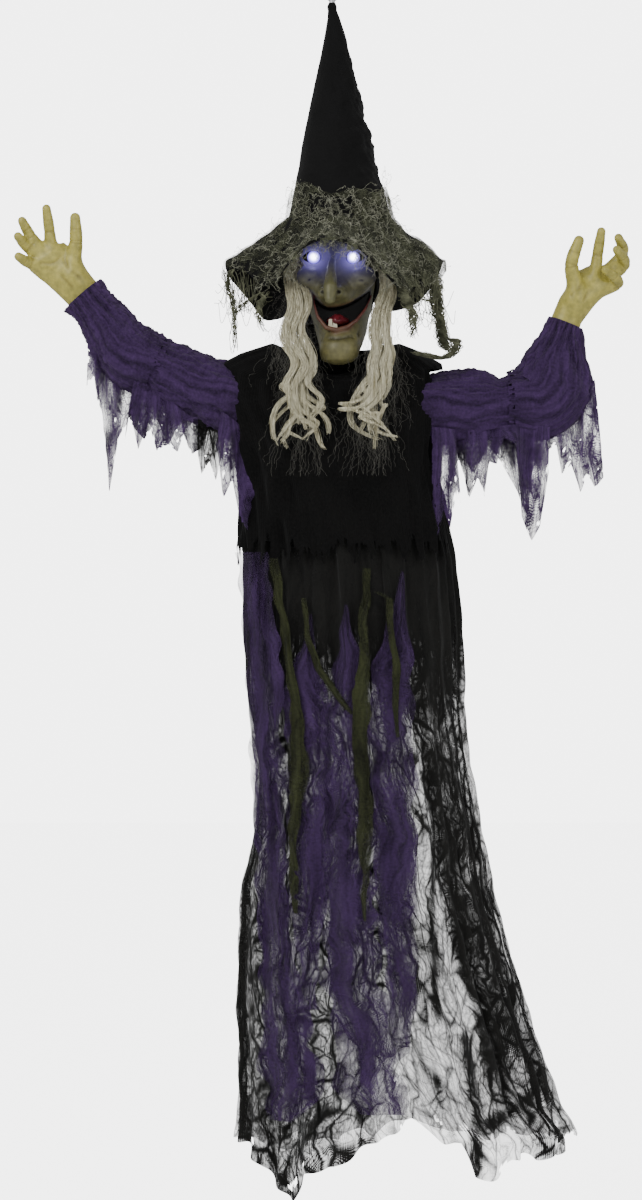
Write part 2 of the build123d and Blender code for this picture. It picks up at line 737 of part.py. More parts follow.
pinion_z = jaw_axis_z + jaw_gear_distance
with BuildPart() as jaw_motor:
    motor_face_x = jaw_gear_x - gear_thickness / 2 - clearance - 0.7
    with BuildSketch(Plane.YZ.offset(motor_face_x)):
        with Locations((jaw_axis_y - 4, pinion_z + 2)):
            RectangleRounded(18, 16, 2)
    extrude(amount=-jaw_motor_length * 0.4)
    with BuildSketch(Plane.YZ.offset(motor_face_x - jaw_motor_length * 0.4)):
        with Locations((jaw_axis_y - 13, pinion_z + 2)):
            Circle(7)
    extrude(amount=-jaw_motor_length)
    with BuildSketch(Plane.YZ.offset(motor_face_x)):
        with Locations((jaw_axis_y, pinion_z)):
            Circle(1.5 + running)
    extrude(amount=-8, mode=Mode.SUBTRACT)
finish(jaw_motor, "jaw_motor")

with BuildPart() as jaw_pinion:
    with BuildSketch(Plane.YZ.offset(jaw_gear_x - gear_thickness / 2)):
        with Locations((jaw_axis_y, pinion_z)):
            Polygon(*gear_points(jaw_pinion_teeth, 270 - 180 / jaw_pinion_teeth), align=None)
    extrude(amount=gear_thickness)
    with BuildSketch(Plane.YZ.offset(motor_face_x - 7)):
        with Locations((jaw_axis_y, pinion_z)):
            Circle(1.5)
    extrude(amount=jaw_gear_x + gear_thickness / 2 - (motor_face_x - 7))
finish(jaw_pinion, "jaw_pinion")

sector_teeth = 11
sector_first = -(sector_teeth // 2)
with BuildPart() as jaw_sector_gear:
    sector_points = gear_points(jaw_gear_teeth, 90, sector_first, sector_teeth)
    with BuildSketch(Plane.YZ.offset(jaw_gear_x - gear_thickness / 2)):
        with Locations((jaw_axis_y, jaw_axis_z)):
            Polygon((-6, 0), *reversed(sector_points), (6, 0), align=None)
            Circle(6.5)
            Circle(jaw_pin_r + running, mode=Mode.SUBTRACT)
    extrude(amount=gear_thickness)
finish(jaw_sector_gear, "jaw_sector_gear")

lip_z = -512.0
jaw_wall = 2.5
jaw_stations = ((lip_z, 4, -30, 37, 56), (lip_z - 14, 5, -38, 33, 58), (lip_z - 34, 7, -62, 28, 40),
                (chin_z + 6, 8, -74, 23, 29), (chin_z, 8, -76, 15, 19))
jaw_hollow = [(z + (0 if i else 1), x, y, a - jaw_wall, b - jaw_wall)
              for i, (z, x, y, a, b) in enumerate(jaw_stations[:-1])]
with BuildPart() as jaw_inside:
    ellipse_loft(jaw_hollow)
with BuildPart() as jaw_shell:
    ellipse_loft(jaw_stations)
    add(jaw_inside.part, mode=Mode.SUBTRACT)
    split(bisect_by=Plane.XZ.offset(-jaw_rear_y), keep=Keep.TOP)
    for side in (-1, 1):
        with BuildSketch(Plane.YZ.offset(side * jaw_ear_x)):
            with BuildLine():
                Polyline((jaw_axis_y - 7, jaw_axis_z), (jaw_axis_y + 7, jaw_axis_z),
                         (jaw_axis_y + 5, lip_z + 6), (jaw_rear_y - 2, lip_z - 8),
                         (jaw_rear_y - 16, lip_z - 8), (jaw_rear_y - 8, lip_z + 8), close=True)
            make_face()
            with Locations((jaw_axis_y, jaw_axis_z)):
                Circle(7)
                Circle(jaw_pin_r + running, mode=Mode.SUBTRACT)
        extrude(amount=jaw_ear_thickness / 2, both=True)
finish(jaw_shell, "jaw_shell")

tongue_stations = ((-30, -519, 15, 4), (-52, -515, 17, 5), (-66, -512, 13, 4), (-74, -513, 7, 2.5))
with BuildPart() as tongue:
    for y, z, half_x, half_z in tongue_stations:
        with BuildSketch(Plane.XZ.offset(-y)):
            with Locations((4, z)):
                Ellipse(half_x, half_z)
    loft()
finish(tongue, "tongue")

tooth_width = 6.5
gum_y = -83.6
with BuildPart() as lower_teeth:
    with BuildSketch(level(lip_z - 3)):
        with Locations((1, gum_y + 4)):
            RectangleRounded(2 * tooth_width + 1, 5, 1)
    extrude(amount=3)
    for side in (-1, 1):
        with BuildSketch(level(lip_z)):
            with Locations((1 + side * (tooth_width / 2 + 0.3), gum_y + 4)):
                RectangleRounded(tooth_width, 4, 1.2)
        extrude(amount=10, taper=4)
finish(lower_teeth, "lower_teeth")

# ---------------------------------------------------------------- hair, two long tresses
hair_sections = {
    "hair_right": ((-73, -46, -392, 12, 14), (-74, -56, -430, 12, 14), (-78, -92, -520, 15, 12),
                   (-66, -112, -600, 30, 12), (-48, -114, -670, 34, 12), (-45, -112, -703, 24, 9)),
    "hair_left": ((77, -46, -392, 12, 14), (78, -56, -430, 12, 14), (72, -92, -520, 16, 12),
                  (66, -112, -590, 24, 12), (68, -114, -660, 28, 12), (72, -112, -706, 18, 9)),
}
for hair_name, sections in hair_sections.items():
    with BuildPart() as hair:
        ellipse_loft([(z, x, y, a, b) for x, y, z, a, b in sections])
    finish(hair, hair_name)

# ---------------------------------------------------------------- hat
# Share of the hat's height from its tip, and the radius there as a share of the base's.
hat_outline = ((0.0, hat_tip_r / hat_base_r, 0.0), (0.08, 0.135, 0.1), (0.35, 0.4, 0.6), (0.61, 0.665, 0.9),
               (0.81, 0.84, 1.0), (1.0, 1.0, 1.0))


def hat_radius(share):
    """Outer radius of the crown at a share of its height from the tip."""
    for (above, r_above, _), (below, r_below, _) in zip(hat_outline, hat_outline[1:]):
        if share <= below:
            return hat_base_r * (r_above + (r_below - r_above) * (share - above) / (below - above))
    return hat_base_r


def hat_circles(shrink):
    """Sections of the crown, as stations for ellipse_loft."""
    stations = []
    for share, base_share, lean in hat_outline:
        r = hat_base_r * base_share - shrink
        stations.append((hat_tip_z - share * hat_height, hat_lean * lean, 0, r, r))
    return stations


with BuildPart() as hat_inside:
    ellipse_loft(hat_circles(hat_wall), ruled=True)
with BuildPart() as hat_crown:
    ellipse_loft(hat_circles(0), ruled=True)
    add(hat_inside.part, mode=Mode.SUBTRACT)
finish(hat_crown, "hat_crown")

cloth_band_height = 58.0
cloth_gap = 1.0
cloth_thickness = 3.0


def cloth_circles(gap):
    """Sections of the gauze wrapped round the foot of the crown."""
    stations = []
    for rise in (cloth_band_height, 2.0):
        r = hat_radius(1 - rise / hat_height) + gap
        stations.append((hat_base_z + rise, hat_lean, 0, r, r))
    return stations


with BuildPart() as cloth_inside:
    ellipse_loft(cloth_circles(cloth_gap), ruled=True)
with BuildPart() as hat_cloth:
    ellipse_loft(cloth_circles(cloth_gap + cloth_thickness), ruled=True)
    add(cloth_inside.part, mode=Mode.SUBTRACT)
finish(hat_cloth, "hat_cloth")


def brim_edge(angle):
    """A point of the brim's drooping, wavy outer edge. The angle is counted from the front."""
    r = brim_r + 12 * cos(4 * angle)
    drop = 95 - 30 * cos(4 * angle) - 22 * cos(angle)
    return Vector(hat_lean * 0.2 + r * sin(angle), -r * cos(angle), hat_base_z - drop)


brim_points = 24
brim_inner_r = hat_base_r + 1.0
brim_angles = [2 * pi * i / brim_points for i in range(brim_points)]
brim_outer = Edge.make_spline([brim_edge(angle) for angle in brim_angles], periodic=True)
brim_inner = Edge.make_spline(
    [Vector(hat_lean + brim_inner_r * sin(angle), -brim_inner_r * cos(angle), hat_base_z)
     for angle in brim_angles], periodic=True)
with BuildPart() as hat_brim:
    thicken(Face.make_surface_from_curves(brim_outer, brim_inner), amount=brim_thickness)
finish(hat_brim, "hat_brim")

strand_r = 4.0
strand_tops = ((-150, -60, -447, 108), (-104, -108, -474, 53), (182, -28, -404, 143), (123, -104, -470, 63))
with BuildPart() as hat_strands:
    for x, y, z, length in strand_tops:
        with BuildSketch(level(z)):
            with Locations((x, y)):
                Circle(strand_r)
        extrude(amount=-length)
finish(hat_strands, "hat_strands")

# ---------------------------------------------------------------- shoulders
shoulders = {"right": (-shoulder_x, right_shoulder_z), "left": (shoulder_x, left_shoulder_z)}
wrists = {"right": right_wrist, "left": left_wrist}
pin_length = lug_thickness + 2 * (fork_cheek + clearance)

with BuildPart() as shoulder_brackets:
    for side, (name, (x, z)) in zip((-1, 1), shoulders.items()):
        inner_x = side * (torso_half_width - 48)
        with BuildSketch(Plane.XZ):
            with BuildLine():
                Polyline((inner_x, bracket_slot_z - 8), (inner_x, bracket_slot_z + 8),
                         (side * (torso_half_width + 4), bracket_slot_z + 8), (x, z + arm_tube_r),
                         (x + side * 2, z), (x, z - arm_tube_r),
                         (side * (torso_half_width + 4), bracket_slot_z - 8), close=True)
            make_face()
            with Locations((x, z)):
                Circle(arm_tube_r)
            with Locations((x, z)):
                Circle(arm_pin_r + fixed_play, mode=Mode.SUBTRACT)
            with Locations((side * (torso_half_width - 36), bracket_slot_z)):
                Circle(screw_r + fixed_play, mode=Mode.SUBTRACT)
        extrude(amount=lug_thickness / 2, both=True)
finish(shoulder_brackets, "shoulder_brackets")


def hinge_pin(x, z):
    """A headed pin along Y through a lug and its fork."""
    with BuildSketch(Plane.XZ) as shank:
        with Locations((x, z)):
            Circle(arm_pin_r)
    extrude(shank.sketch, amount=pin_length / 2 + 0.5, both=True)
    for side in (-1, 1):
        with BuildSketch(Plane.XZ.offset(side * (pin_length / 2 + 0.5))) as head:
            with Locations((x, z)):
                Circle(arm_pin_r + 2)
        extrude(head.sketch, amount=side * 2)


with BuildPart() as shoulder_pins:
    for x, z in shoulders.values():
        hinge_pin(x, z)
finish(shoulder_pins, "shoulder_pins")

# ---------------------------------------------------------------- arms
fork_length = 28.0
lug_length = 30.0
sleeve_gap = 38.0
sleeve_bore_r = arm_tube_r + clearance
sleeve_r = {"shoulder": 42.0, "elbow": 34.0, "cuff": 30.0}


def elbow_of(shoulder, wrist):
    """Where the elbow hangs, below the line from the shoulder to the wrist."""
    dx = wrist[0] - shoulder[0]
    dz = wrist[1] - shoulder[1]
    reach = hypot(dx, dz)
    bend = acos((upper_arm_length**2 + reach**2 - forearm_length**2) / (2 * upper_arm_length * reach))
    heading = atan2(dz, dx) + (bend if dx < 0 else -bend)
    return shoulder[0] + upper_arm_length * cos(heading), shoulder[1] + upper_arm_length * sin(heading)


def arm_frame(start, end):
    """Plane whose local X runs along an arm piece and whose normal is along Y."""
    along = Vector(end[0] - start[0], 0, end[1] - start[1]).normalized()
    return Plane(origin=(start[0], 0, start[1]), x_dir=along, z_dir=(0, -1, 0))


def across(frame, distance):
    """Plane across an arm piece, at a distance along it."""
    return Plane(origin=frame.origin + frame.x_dir * distance, x_dir=(0, 1, 0), z_dir=frame.x_dir)


def fork(frame):
    """Two cheeks with a running hole, round the pin at the frame's origin."""
    with BuildSketch(frame) as cheeks:
        Circle(arm_tube_r)
        with Locations((fork_length / 2, 0)):
            Rectangle(fork_length, 2 * arm_tube_r)
    extrude(cheeks.sketch, amount=lug_thickness / 2 + clearance + fork_cheek, both=True)
    with BuildSketch(frame) as gap:
        with Locations(((arm_tube_r + 2 - arm_tube_r - 1) / 2, 0)):
            Rectangle(2 * arm_tube_r + 3, 2 * arm_tube_r + 2)
    extrude(gap.sketch, amount=lug_thickness / 2 + clearance, both=True, mode=Mode.SUBTRACT)
    with BuildSketch(frame) as pin_hole:
        Circle(arm_pin_r + running)
    extrude(pin_hole.sketch, amount=fork_length, both=True, mode=Mode.SUBTRACT)


def tube(frame, start, end, r):
    """Round bar between two distances along an arm piece."""
    with BuildSketch(across(frame, start)) as section:
        Circle(r)
    extrude(section.sketch, amount=end - start)


def sleeve(frame, start, end, start_r, end_r):
    """Plain stuffed sleeve round the arm's tube."""
    sections = []
    for distance, r in ((start, start_r), (end, end_r)):
        with BuildSketch(across(frame, distance)) as section:
            Circle(r)
        sections.append(section.sketch)
    loft(sections)
    with BuildSketch(across(frame, start - 1)) as bore:
        Circle(sleeve_bore_r)
    extrude(bore.sketch, amount=end - start + 2, mode=Mode.SUBTRACT)


def finger(points, radii):
    """A tapering finger lofted through its joints, each an (x, y, z) point, with a blunt tip."""
    joints = [Vector(*point) for point in points]
    tip_heading = (joints[-1] - joints[-2]).normalized()
    joints.append(joints[-1] + tip_heading * fingertip_length)
    sections = []
    for i, (joint, r) in enumerate(zip(joints, radii)):
        heading = (joints[min(i + 1, len(joints) - 1)] - joints[max(i - 1, 0)]).normalized()
        with BuildSketch(Plane(origin=joint, x_dir=Vector(0, 1, 0).cross(heading), z_dir=heading)) as section:
            Circle(r)
        sections.append(section.sketch)
    loft(sections)


fingertip_length = 6.0
peg_length = 20.0
wrist_collar_length = 18.0
hand_points = {
    "right": {
        "palm": (((-389, 0, -450), 25, 19), ((-405, -2, -432), 29, 18), ((-424, -2, -412), 31, 15),
                 ((-440, -4, -399), 28, 12)),
        "fingers": (((-397, -8, -408), (-392, -14, -378), (-393, -18, -340)),
                    ((-432, -4, -392), (-433, -8, -362), (-437, -18, -326)),
                    ((-440, -4, -398), (-462, -8, -370), (-475, -20, -346)),
                    ((-442, -4, -404), (-466, -10, -388), (-481, -26, -370)),
                    ((-436, -4, -416), (-464, -12, -412), (-480, -28, -402))),
    },
    "left": {
        "palm": (((362, 0, -493), 22, 17), ((374, -4, -472), 27, 20), ((390, 0, -450), 28, 20),
                 ((404, 4, -433), 25, 14)),
        "fingers": (((372, -14, -446), (366, -24, -412), (378, -30, -376)),
                    ((402, -6, -436), (407, -8, -398), (412, -18, -361)),
                    ((410, 4, -432), (447, 6, -394), (438, -24, -372)),
                    ((414, 10, -440), (450, 4, -412), (434, -32, -392)),
                    ((410, 14, -454), (440, 0, -442), (417, -34, -424))),
    },
}
finger_radii = (10.0, 9.5, 8.5, 5.5)


def make_arm(name, shoulder, wrist):
    """All the pieces of one arm, each written as its own node."""
    elbow = elbow_of(shoulder, wrist)
    upper = arm_frame(shoulder, elbow)
    lower = arm_frame(elbow, wrist)
    with BuildPart() as upper_arm:
        fork(upper)
        tube(upper, fork_length - 2, upper_arm_length - lug_length + 4, arm_tube_r)
        with BuildSketch(upper) as lug:
            with Locations((upper_arm_length - lug_length / 2, 0)):
                Rectangle(lug_length, 2 * arm_tube_r)
            with Locations((upper_arm_length, 0)):
                Circle(arm_tube_r)
                Circle(arm_pin_r + fixed_play, mode=Mode.SUBTRACT)
        extrude(lug.sketch, amount=lug_thickness / 2, both=True)
    finish(upper_arm, f"{name}_upper_arm")
    with BuildPart() as elbow_pin:
        hinge_pin(*elbow)
    finish(elbow_pin, f"{name}_elbow_pin")
    with BuildPart() as forearm:
        fork(lower)
        tube(lower, fork_length - 2, forearm_length - 4, arm_tube_r)
        with BuildSketch(across(lower, forearm_length - 4)) as socket:
            Circle(wrist_peg_r + running)
        extrude(socket.sketch, amount=-peg_length - 1, mode=Mode.SUBTRACT)
    finish(forearm, f"{name}_forearm")
    with BuildPart() as hand:
        tube(lower, forearm_length - 4 - peg_length, forearm_length + 2, wrist_peg_r)
        palm_sections = []
        for centre, half_width, half_depth in hand_points[name]["palm"]:
            with BuildSketch(Plane(origin=centre, x_dir=(0, 1, 0), z_dir=lower.x_dir)) as section:
                Ellipse(half_depth, half_width)
            palm_sections.append(section.sketch)
        loft(palm_sections)
        for joints in hand_points[name]["fingers"]:
            finger(joints, finger_radii)
        with BuildSketch(across(lower, forearm_length - 4 + clearance)) as collar:
            Circle(arm_tube_r + 3)
        extrude(collar.sketch, amount=wrist_collar_length)
    finish(hand, f"{name}_hand")
    with BuildPart() as upper_sleeve:
        sleeve(upper, sleeve_gap, upper_arm_length - sleeve_gap, sleeve_r["shoulder"], sleeve_r["elbow"])
    finish(upper_sleeve, f"{name}_upper_sleeve")
    with BuildPart() as forearm_sleeve:
        sleeve(lower, sleeve_gap, forearm_length - 14, sleeve_r["elbow"], sleeve_r["cuff"])
    finish(forearm_sleeve, f"{name}_forearm_sleeve")
    with BuildPart() as sleeve_strips:
        for x, top_z, bottom_z, width in strip_places[name]:
            with BuildSketch(Plane.XZ):
                with Locations((x, (top_z + bottom_z) / 2)):
                    Rectangle(width, top_z - bottom_z)
            extrude(amount=1.5, both=True)
    finish(sleeve_strips, f"{name}_sleeve_strips")


# Hanging gauze strips under each sleeve: centre x, top, bottom and width.
strip_places = {
    "right": ((-222, -640, -690, 26), (-262, -625, -688, 30), (-298, -612, -690, 26), (-332, -598, -758, 30)),
    "left": ((208, -672, -775, 34), (250, -672, -720, 24), (300, -672, -828, 34), (384, -590, -748, 30)),
}
for arm_name in ("right", "left"):
    make_arm(arm_name, shoulders[arm_name], wrists[arm_name])

# ---------------------------------------------------------------- bodice, gown and strips
bodice_stations = ((torso_top_z + 6, 0, 0, 150, 76), (torso_top_z - 10, 0, 0, 170, 84),
                   (torso_top_z - 110, 2, 0, 170, 88), (bodice_bottom_z, 6, 0, 176, 92))
armhole_bottom_z = -770.0
armhole_half_depth = 62.0
armhole_inner_x = 118.0
with BuildPart() as bodice_inside:
    ellipse_loft(bodice_stations, bodice_wall, ruled=True)
with BuildPart() as bodice:
    ellipse_loft(bodice_stations, ruled=True)
    add(bodice_inside.part, mode=Mode.SUBTRACT)
    for side in (-1, 1):
        with BuildSketch(Plane.YZ.offset(side * armhole_inner_x)):
            with Locations((0, (armhole_bottom_z + torso_top_z + 20) / 2)):
                Rectangle(2 * armhole_half_depth, torso_top_z + 20 - armhole_bottom_z)
        extrude(amount=side * 100, mode=Mode.SUBTRACT)
finish(bodice, "bodice")

gown_top_z = bodice_bottom_z - 3.0
gown_length = gown_top_z - hem_z
# Share of the gown's length, centre x, half width and half depth.
gown_outline = ((0.0, 16, 167, 90), (0.24, 32, 170, 93), (0.55, 50, 196, 105), (0.78, 90, 233, 122),
                (1.0, 117, 258, 138))
gown_stations = [(gown_top_z - share * gown_length, x, 0, a, b) for share, x, a, b in gown_outline]
with BuildPart() as gown_inside:
    ellipse_loft(gown_stations, gown_wall)
with BuildPart() as gown_whole:
    ellipse_loft(gown_stations)
    add(gown_inside.part, mode=Mode.SUBTRACT)
for gown_name, keep, y in (("gown_front", Keep.TOP, -0.5), ("gown_back", Keep.BOTTOM, 0.5)):
    with BuildPart() as gown_panel:
        add(gown_whole.part)
        split(bisect_by=Plane.XZ.offset(-y), keep=keep)
    finish(gown_panel, gown_name)

strip_gap = 8.0
strip_thickness = 2.0
strip_slope = (gown_outline[-1][3] - gown_outline[0][3]) / gown_length
purple_rows = ((-92, 46, 24, 812), (-36, 46, 0, 660), (32, 56, 0, 800), (98, 42, 0, 745))
moss_rows = ((-64, 36, 0, 520), (50, 22, 0, 540), (94, 20, 0, 290))


def strip_plane(gap):
    """Plane just in front of the gown, sloping outwards with it."""
    start = (0, -gown_outline[0][3] - gap, gown_top_z)
    return Plane(origin=start, x_dir=(1, 0, 0), z_dir=(0, -1, strip_slope))


strip_layers = (("purple_strips", purple_rows, strip_gap), ("moss_strips", moss_rows, strip_gap + 5))
for strips_name, rows, gap in strip_layers:
    with BuildPart() as strips:
        for x, width, start, length in rows:
            with BuildSketch(strip_plane(gap)):
                with Locations((x, -start - length / 2)):
                    Rectangle(width, length)
            extrude(amount=strip_thickness)
    finish(strips, strips_name)
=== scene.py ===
"""A hanging animated witch: soft goods, skin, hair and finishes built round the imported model."""
import json
import math

import bpy
import numpy as np
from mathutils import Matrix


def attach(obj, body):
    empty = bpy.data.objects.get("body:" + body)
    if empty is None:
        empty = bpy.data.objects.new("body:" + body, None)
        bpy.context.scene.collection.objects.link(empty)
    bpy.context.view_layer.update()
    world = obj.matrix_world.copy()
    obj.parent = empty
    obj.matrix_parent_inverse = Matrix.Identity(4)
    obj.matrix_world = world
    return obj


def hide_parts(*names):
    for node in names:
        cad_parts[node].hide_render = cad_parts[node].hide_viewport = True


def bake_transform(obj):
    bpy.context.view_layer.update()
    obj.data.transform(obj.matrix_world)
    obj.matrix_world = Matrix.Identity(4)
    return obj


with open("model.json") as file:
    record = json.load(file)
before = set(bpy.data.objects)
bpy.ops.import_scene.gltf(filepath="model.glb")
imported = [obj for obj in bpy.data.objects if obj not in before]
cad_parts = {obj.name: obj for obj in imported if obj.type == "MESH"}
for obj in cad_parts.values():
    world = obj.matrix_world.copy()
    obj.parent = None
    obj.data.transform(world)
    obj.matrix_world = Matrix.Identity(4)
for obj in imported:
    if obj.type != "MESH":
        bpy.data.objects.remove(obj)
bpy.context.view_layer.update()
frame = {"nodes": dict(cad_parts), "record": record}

# ------------------------------------------------------------------ Camera and studio
# The figure hangs in an empty pale studio, seen from straight ahead by a long lens at waist height.
# Two large soft lamps light it from the front, and the pale floor and wall fill the shadows.
VIEW_HEIGHT = 1.841
VIEW_CENTRE = (-0.0169, -0.9278)
VIEW_DISTANCE = 6.5
SENSOR_WIDTH = 36.0

camera_data = bpy.data.cameras.new("camera")
camera_data.sensor_width = SENSOR_WIDTH
camera_data.lens = SENSOR_WIDTH * VIEW_DISTANCE / VIEW_HEIGHT
camera_data.clip_end = 100
camera = bpy.data.objects.new("camera", camera_data)
camera.location = (VIEW_CENTRE[0], -VIEW_DISTANCE, VIEW_CENTRE[1])
camera.rotation_euler = (math.pi / 2, 0, 0)
bpy.context.scene.collection.objects.link(camera)
bpy.context.scene.camera = camera

world = bpy.data.worlds.new("studio")
bpy.context.scene.world = world
world.use_nodes = True
world_shader = world.node_tree.nodes["Background"]
world_shader.inputs["Color"].default_value = (1.0, 1.0, 1.0, 1)
seen = world.node_tree.nodes.new("ShaderNodeLightPath")
brightness = world.node_tree.nodes.new("ShaderNodeMapRange")
brightness.inputs["To Min"].default_value = 0.6
brightness.inputs["To Max"].default_value = 5.0
world.node_tree.links.new(seen.outputs["Is Camera Ray"], brightness.inputs["Value"])
world.node_tree.links.new(brightness.outputs[0], world_shader.inputs["Strength"])


def add_lamp(name, place, size, power):
    """One large soft lamp that points at the figure's middle."""
    lamp_data = bpy.data.lights.new(name, "AREA")
    lamp_data.size = size
    lamp_data.energy = power
    lamp = bpy.data.objects.new(name, lamp_data)
    lamp.location = place
    aim = np.array([0, 0, -0.8]) - np.array(place)
    lamp.rotation_euler = (math.atan2(math.hypot(aim[0], aim[1]), -aim[2]), 0, math.atan2(-aim[0], aim[1]))
    bpy.context.scene.collection.objects.link(lamp)


add_lamp("key_lamp", (-1.8, -2.6, 0.9), 1.6, 60)
add_lamp("fill_lamp", (2.2, -2.4, -0.2), 1.8, 25)

floor_mesh = bpy.data.meshes.new("studio_floor")
floor_reach = 12.0
floor_z = -1.9
floor_mesh.from_pydata([(x, y, floor_z) for x, y in
                        ((-floor_reach, -floor_reach), (floor_reach, -floor_reach),
                         (floor_reach, floor_reach), (-floor_reach, floor_reach))], [], [(0, 1, 2, 3)])
studio_floor = bpy.data.objects.new("studio_floor", floor_mesh)
bpy.context.scene.collection.objects.link(studio_floor)
floor_paint = bpy.data.materials.new("studio_floor")
floor_paint.use_nodes = True
floor_shader = floor_paint.node_tree.nodes["Principled BSDF"]
floor_shader.inputs["Base Color"].default_value = (0.9, 0.9, 0.9, 1)
floor_shader.inputs["Roughness"].default_value = 0.9
floor_shader.inputs["Emission Color"].default_value = (1, 1, 1, 1)
floor_seen = floor_paint.node_tree.nodes.new("ShaderNodeLightPath")
floor_glow = floor_paint.node_tree.nodes.new("ShaderNodeMath")
floor_glow.operation = "MULTIPLY"
floor_glow.inputs[1].default_value = 4.2
floor_paint.node_tree.links.new(floor_seen.outputs["Is Camera Ray"], floor_glow.inputs[0])
floor_paint.node_tree.links.new(floor_glow.outputs[0], floor_shader.inputs["Emission Strength"])
floor_mesh.materials.append(floor_paint)

# ------------------------------------------------------------------ Gown
# A very long skirt of crinkled sheer black gauze, sewn into a tube and gathered under the bodice.
# It hangs in deep uneven folds, is pulled out to the figure's left at the foot, and has a torn hem.


def ripple(points, wavelength, seed, waves=8):
    """A smooth quasi-random field, mostly between -1 and 1, over an array of points."""
    rng = np.random.default_rng(seed)
    total = np.zeros(points.shape[:-1])
    for _ in range(waves):
        heading = rng.normal(size=points.shape[-1])
        heading /= np.linalg.norm(heading)
        count = 2 * np.pi / (wavelength * rng.uniform(0.7, 1.5))
        total += np.sin(points @ heading * count + rng.uniform(0, 2 * np.pi))
    return total / math.sqrt(waves) / 1.3


def step(low, high, values):
    """Smooth step from 0 at low to 1 at high."""
    t = np.clip((values - low) / (high - low), 0, 1)
    return t * t * (3 - 2 * t)


def make_piece(name, points, faces, material, cut=None, smooth=True, marks=None):
    """A mesh object from points and faces, with its flat cut in metres as UVs and marks as attributes."""
    mesh = bpy.data.meshes.new(name)
    mesh.from_pydata([tuple(p) for p in points], [], [tuple(int(i) for i in f) for f in faces])
    if cut is not None:
        layer = mesh.uv_layers.new(name="cut")
        corners = np.zeros(len(mesh.loops), int)
        mesh.loops.foreach_get("vertex_index", corners)
        layer.data.foreach_set("uv", np.asarray(cut)[corners].astype(np.float32).ravel())
    for mark, values in (marks or {}).items():
        attribute = mesh.attributes.new(mark, "FLOAT", "POINT")
        attribute.data.foreach_set("value", np.asarray(values, np.float32))
    if smooth:
        mesh.polygons.foreach_set("use_smooth", [True] * len(mesh.polygons))
    mesh.materials.append(material)
    piece = bpy.data.objects.new(name, mesh)
    bpy.context.scene.collection.objects.link(piece)
    return piece


def grid_faces(rows, columns, closed=False, kept=None):
    """Quads of a grid of rows x columns points, whose columns may close into a ring."""
    across = columns if closed else columns - 1
    r, c = np.meshgrid(np.arange(rows - 1), np.arange(across), indexing="ij")
    if kept is not None:
        r, c = r[kept[: rows - 1, :across]], c[kept[: rows - 1, :across]]
    r, c = r.ravel(), c.ravel()
    after = (c + 1) % columns
    this_row, next_row = r * columns, (r + 1) * columns
    return np.stack([this_row + c, next_row + c, next_row + after, this_row + after], 1)


def compact(points, faces, *others):
    """Drop the points that no face uses."""
    used, inverse = np.unique(faces.ravel(), return_inverse=True)
    return (points[used], inverse.reshape(faces.shape)) + tuple(o[used] for o in others)


def flat_cut(grid, closed):
    """Where each point of a grid of cloth lies in the flat cut, in metres."""
    wrapped = np.concatenate([grid, grid[:, :1]], 1) if closed else grid
    across = np.linalg.norm(np.diff(wrapped, axis=1), axis=2).mean(0)
    down = np.linalg.norm(np.diff(grid, axis=0), axis=2).mean(1)
    u = np.concatenate([[0], np.cumsum(across)])[: grid.shape[1]]
    v = np.concatenate([[0], np.cumsum(down)])
    return np.stack(np.broadcast_arrays(u[None, :], v[:, None]), -1)


def cloth_piece(name, grid, material, dense, torn, closed=False, outward=True):
    """A piece of thin cloth over a grid of points, torn where marked."""
    cut = flat_cut(grid, closed)
    faces = grid_faces(*grid.shape[:2], closed=closed, kept=~torn)
    points, faces, cut, dense = compact(grid.reshape(-1, 3), faces, cut.reshape(-1, 2), dense.reshape(-1))
    if outward:
        faces = faces[:, ::-1]
    piece = make_piece(name, points, faces, material, cut, marks={"dense": dense})
    return piece


def shader_tree(name):
    """A new material with its tree and Principled shader."""
    material = bpy.data.materials.new(name)
    material.use_nodes = True
    return material, material.node_tree, material.node_tree.nodes["Principled BSDF"]


def add_node(tree, kind, links=(), **values):
    """Add a node, set its sockets or properties by name, and link outputs to its inputs."""
    node = tree.nodes.new(kind)
    for key, value in values.items():
        if key in node.inputs:
            node.inputs[key].default_value = value
        else:
            setattr(node, key, value)
    for socket, source in links:
        tree.links.new(source, node.inputs[socket])
    return node


def math_node(tree, operation, a, b=None, clamp=False):
    """One Math node, whose inputs are sockets or numbers."""
    node = tree.nodes.new("ShaderNodeMath")
    node.operation = operation
    node.use_clamp = clamp
    for i, value in enumerate((a, b)):
        if value is None:
            continue
        if isinstance(value, (int, float)):
            node.inputs[i].default_value = value
        else:
            tree.links.new(value, node.inputs[i])
    return node.outputs[0]


def times(tree, a, b, clamp=False):
    """Product of two sockets or numbers."""
    return math_node(tree, "MULTIPLY", a, b, clamp)


def plus(tree, a, b, clamp=False):
    """Sum of two sockets or numbers."""
    return math_node(tree, "ADD", a, b, clamp)


def minus(tree, a, b, clamp=False):
    """Difference of two sockets or numbers."""
    return math_node(tree, "SUBTRACT", a, b, clamp)


def ramp_node(tree, source, stops):
    """A colour ramp over (position, colour) stops."""
    node = tree.nodes.new("ShaderNodeValToRGB")
    elements = node.color_ramp.elements
    while len(elements) < len(stops):
        elements.new(0.5)
    for element, (position, colour) in zip(elements, stops):
        element.position = position
        element.color = (*colour, 1) if len(colour) == 3 else colour
    tree.links.new(source, node.inputs[0])
    return node.outputs[0]


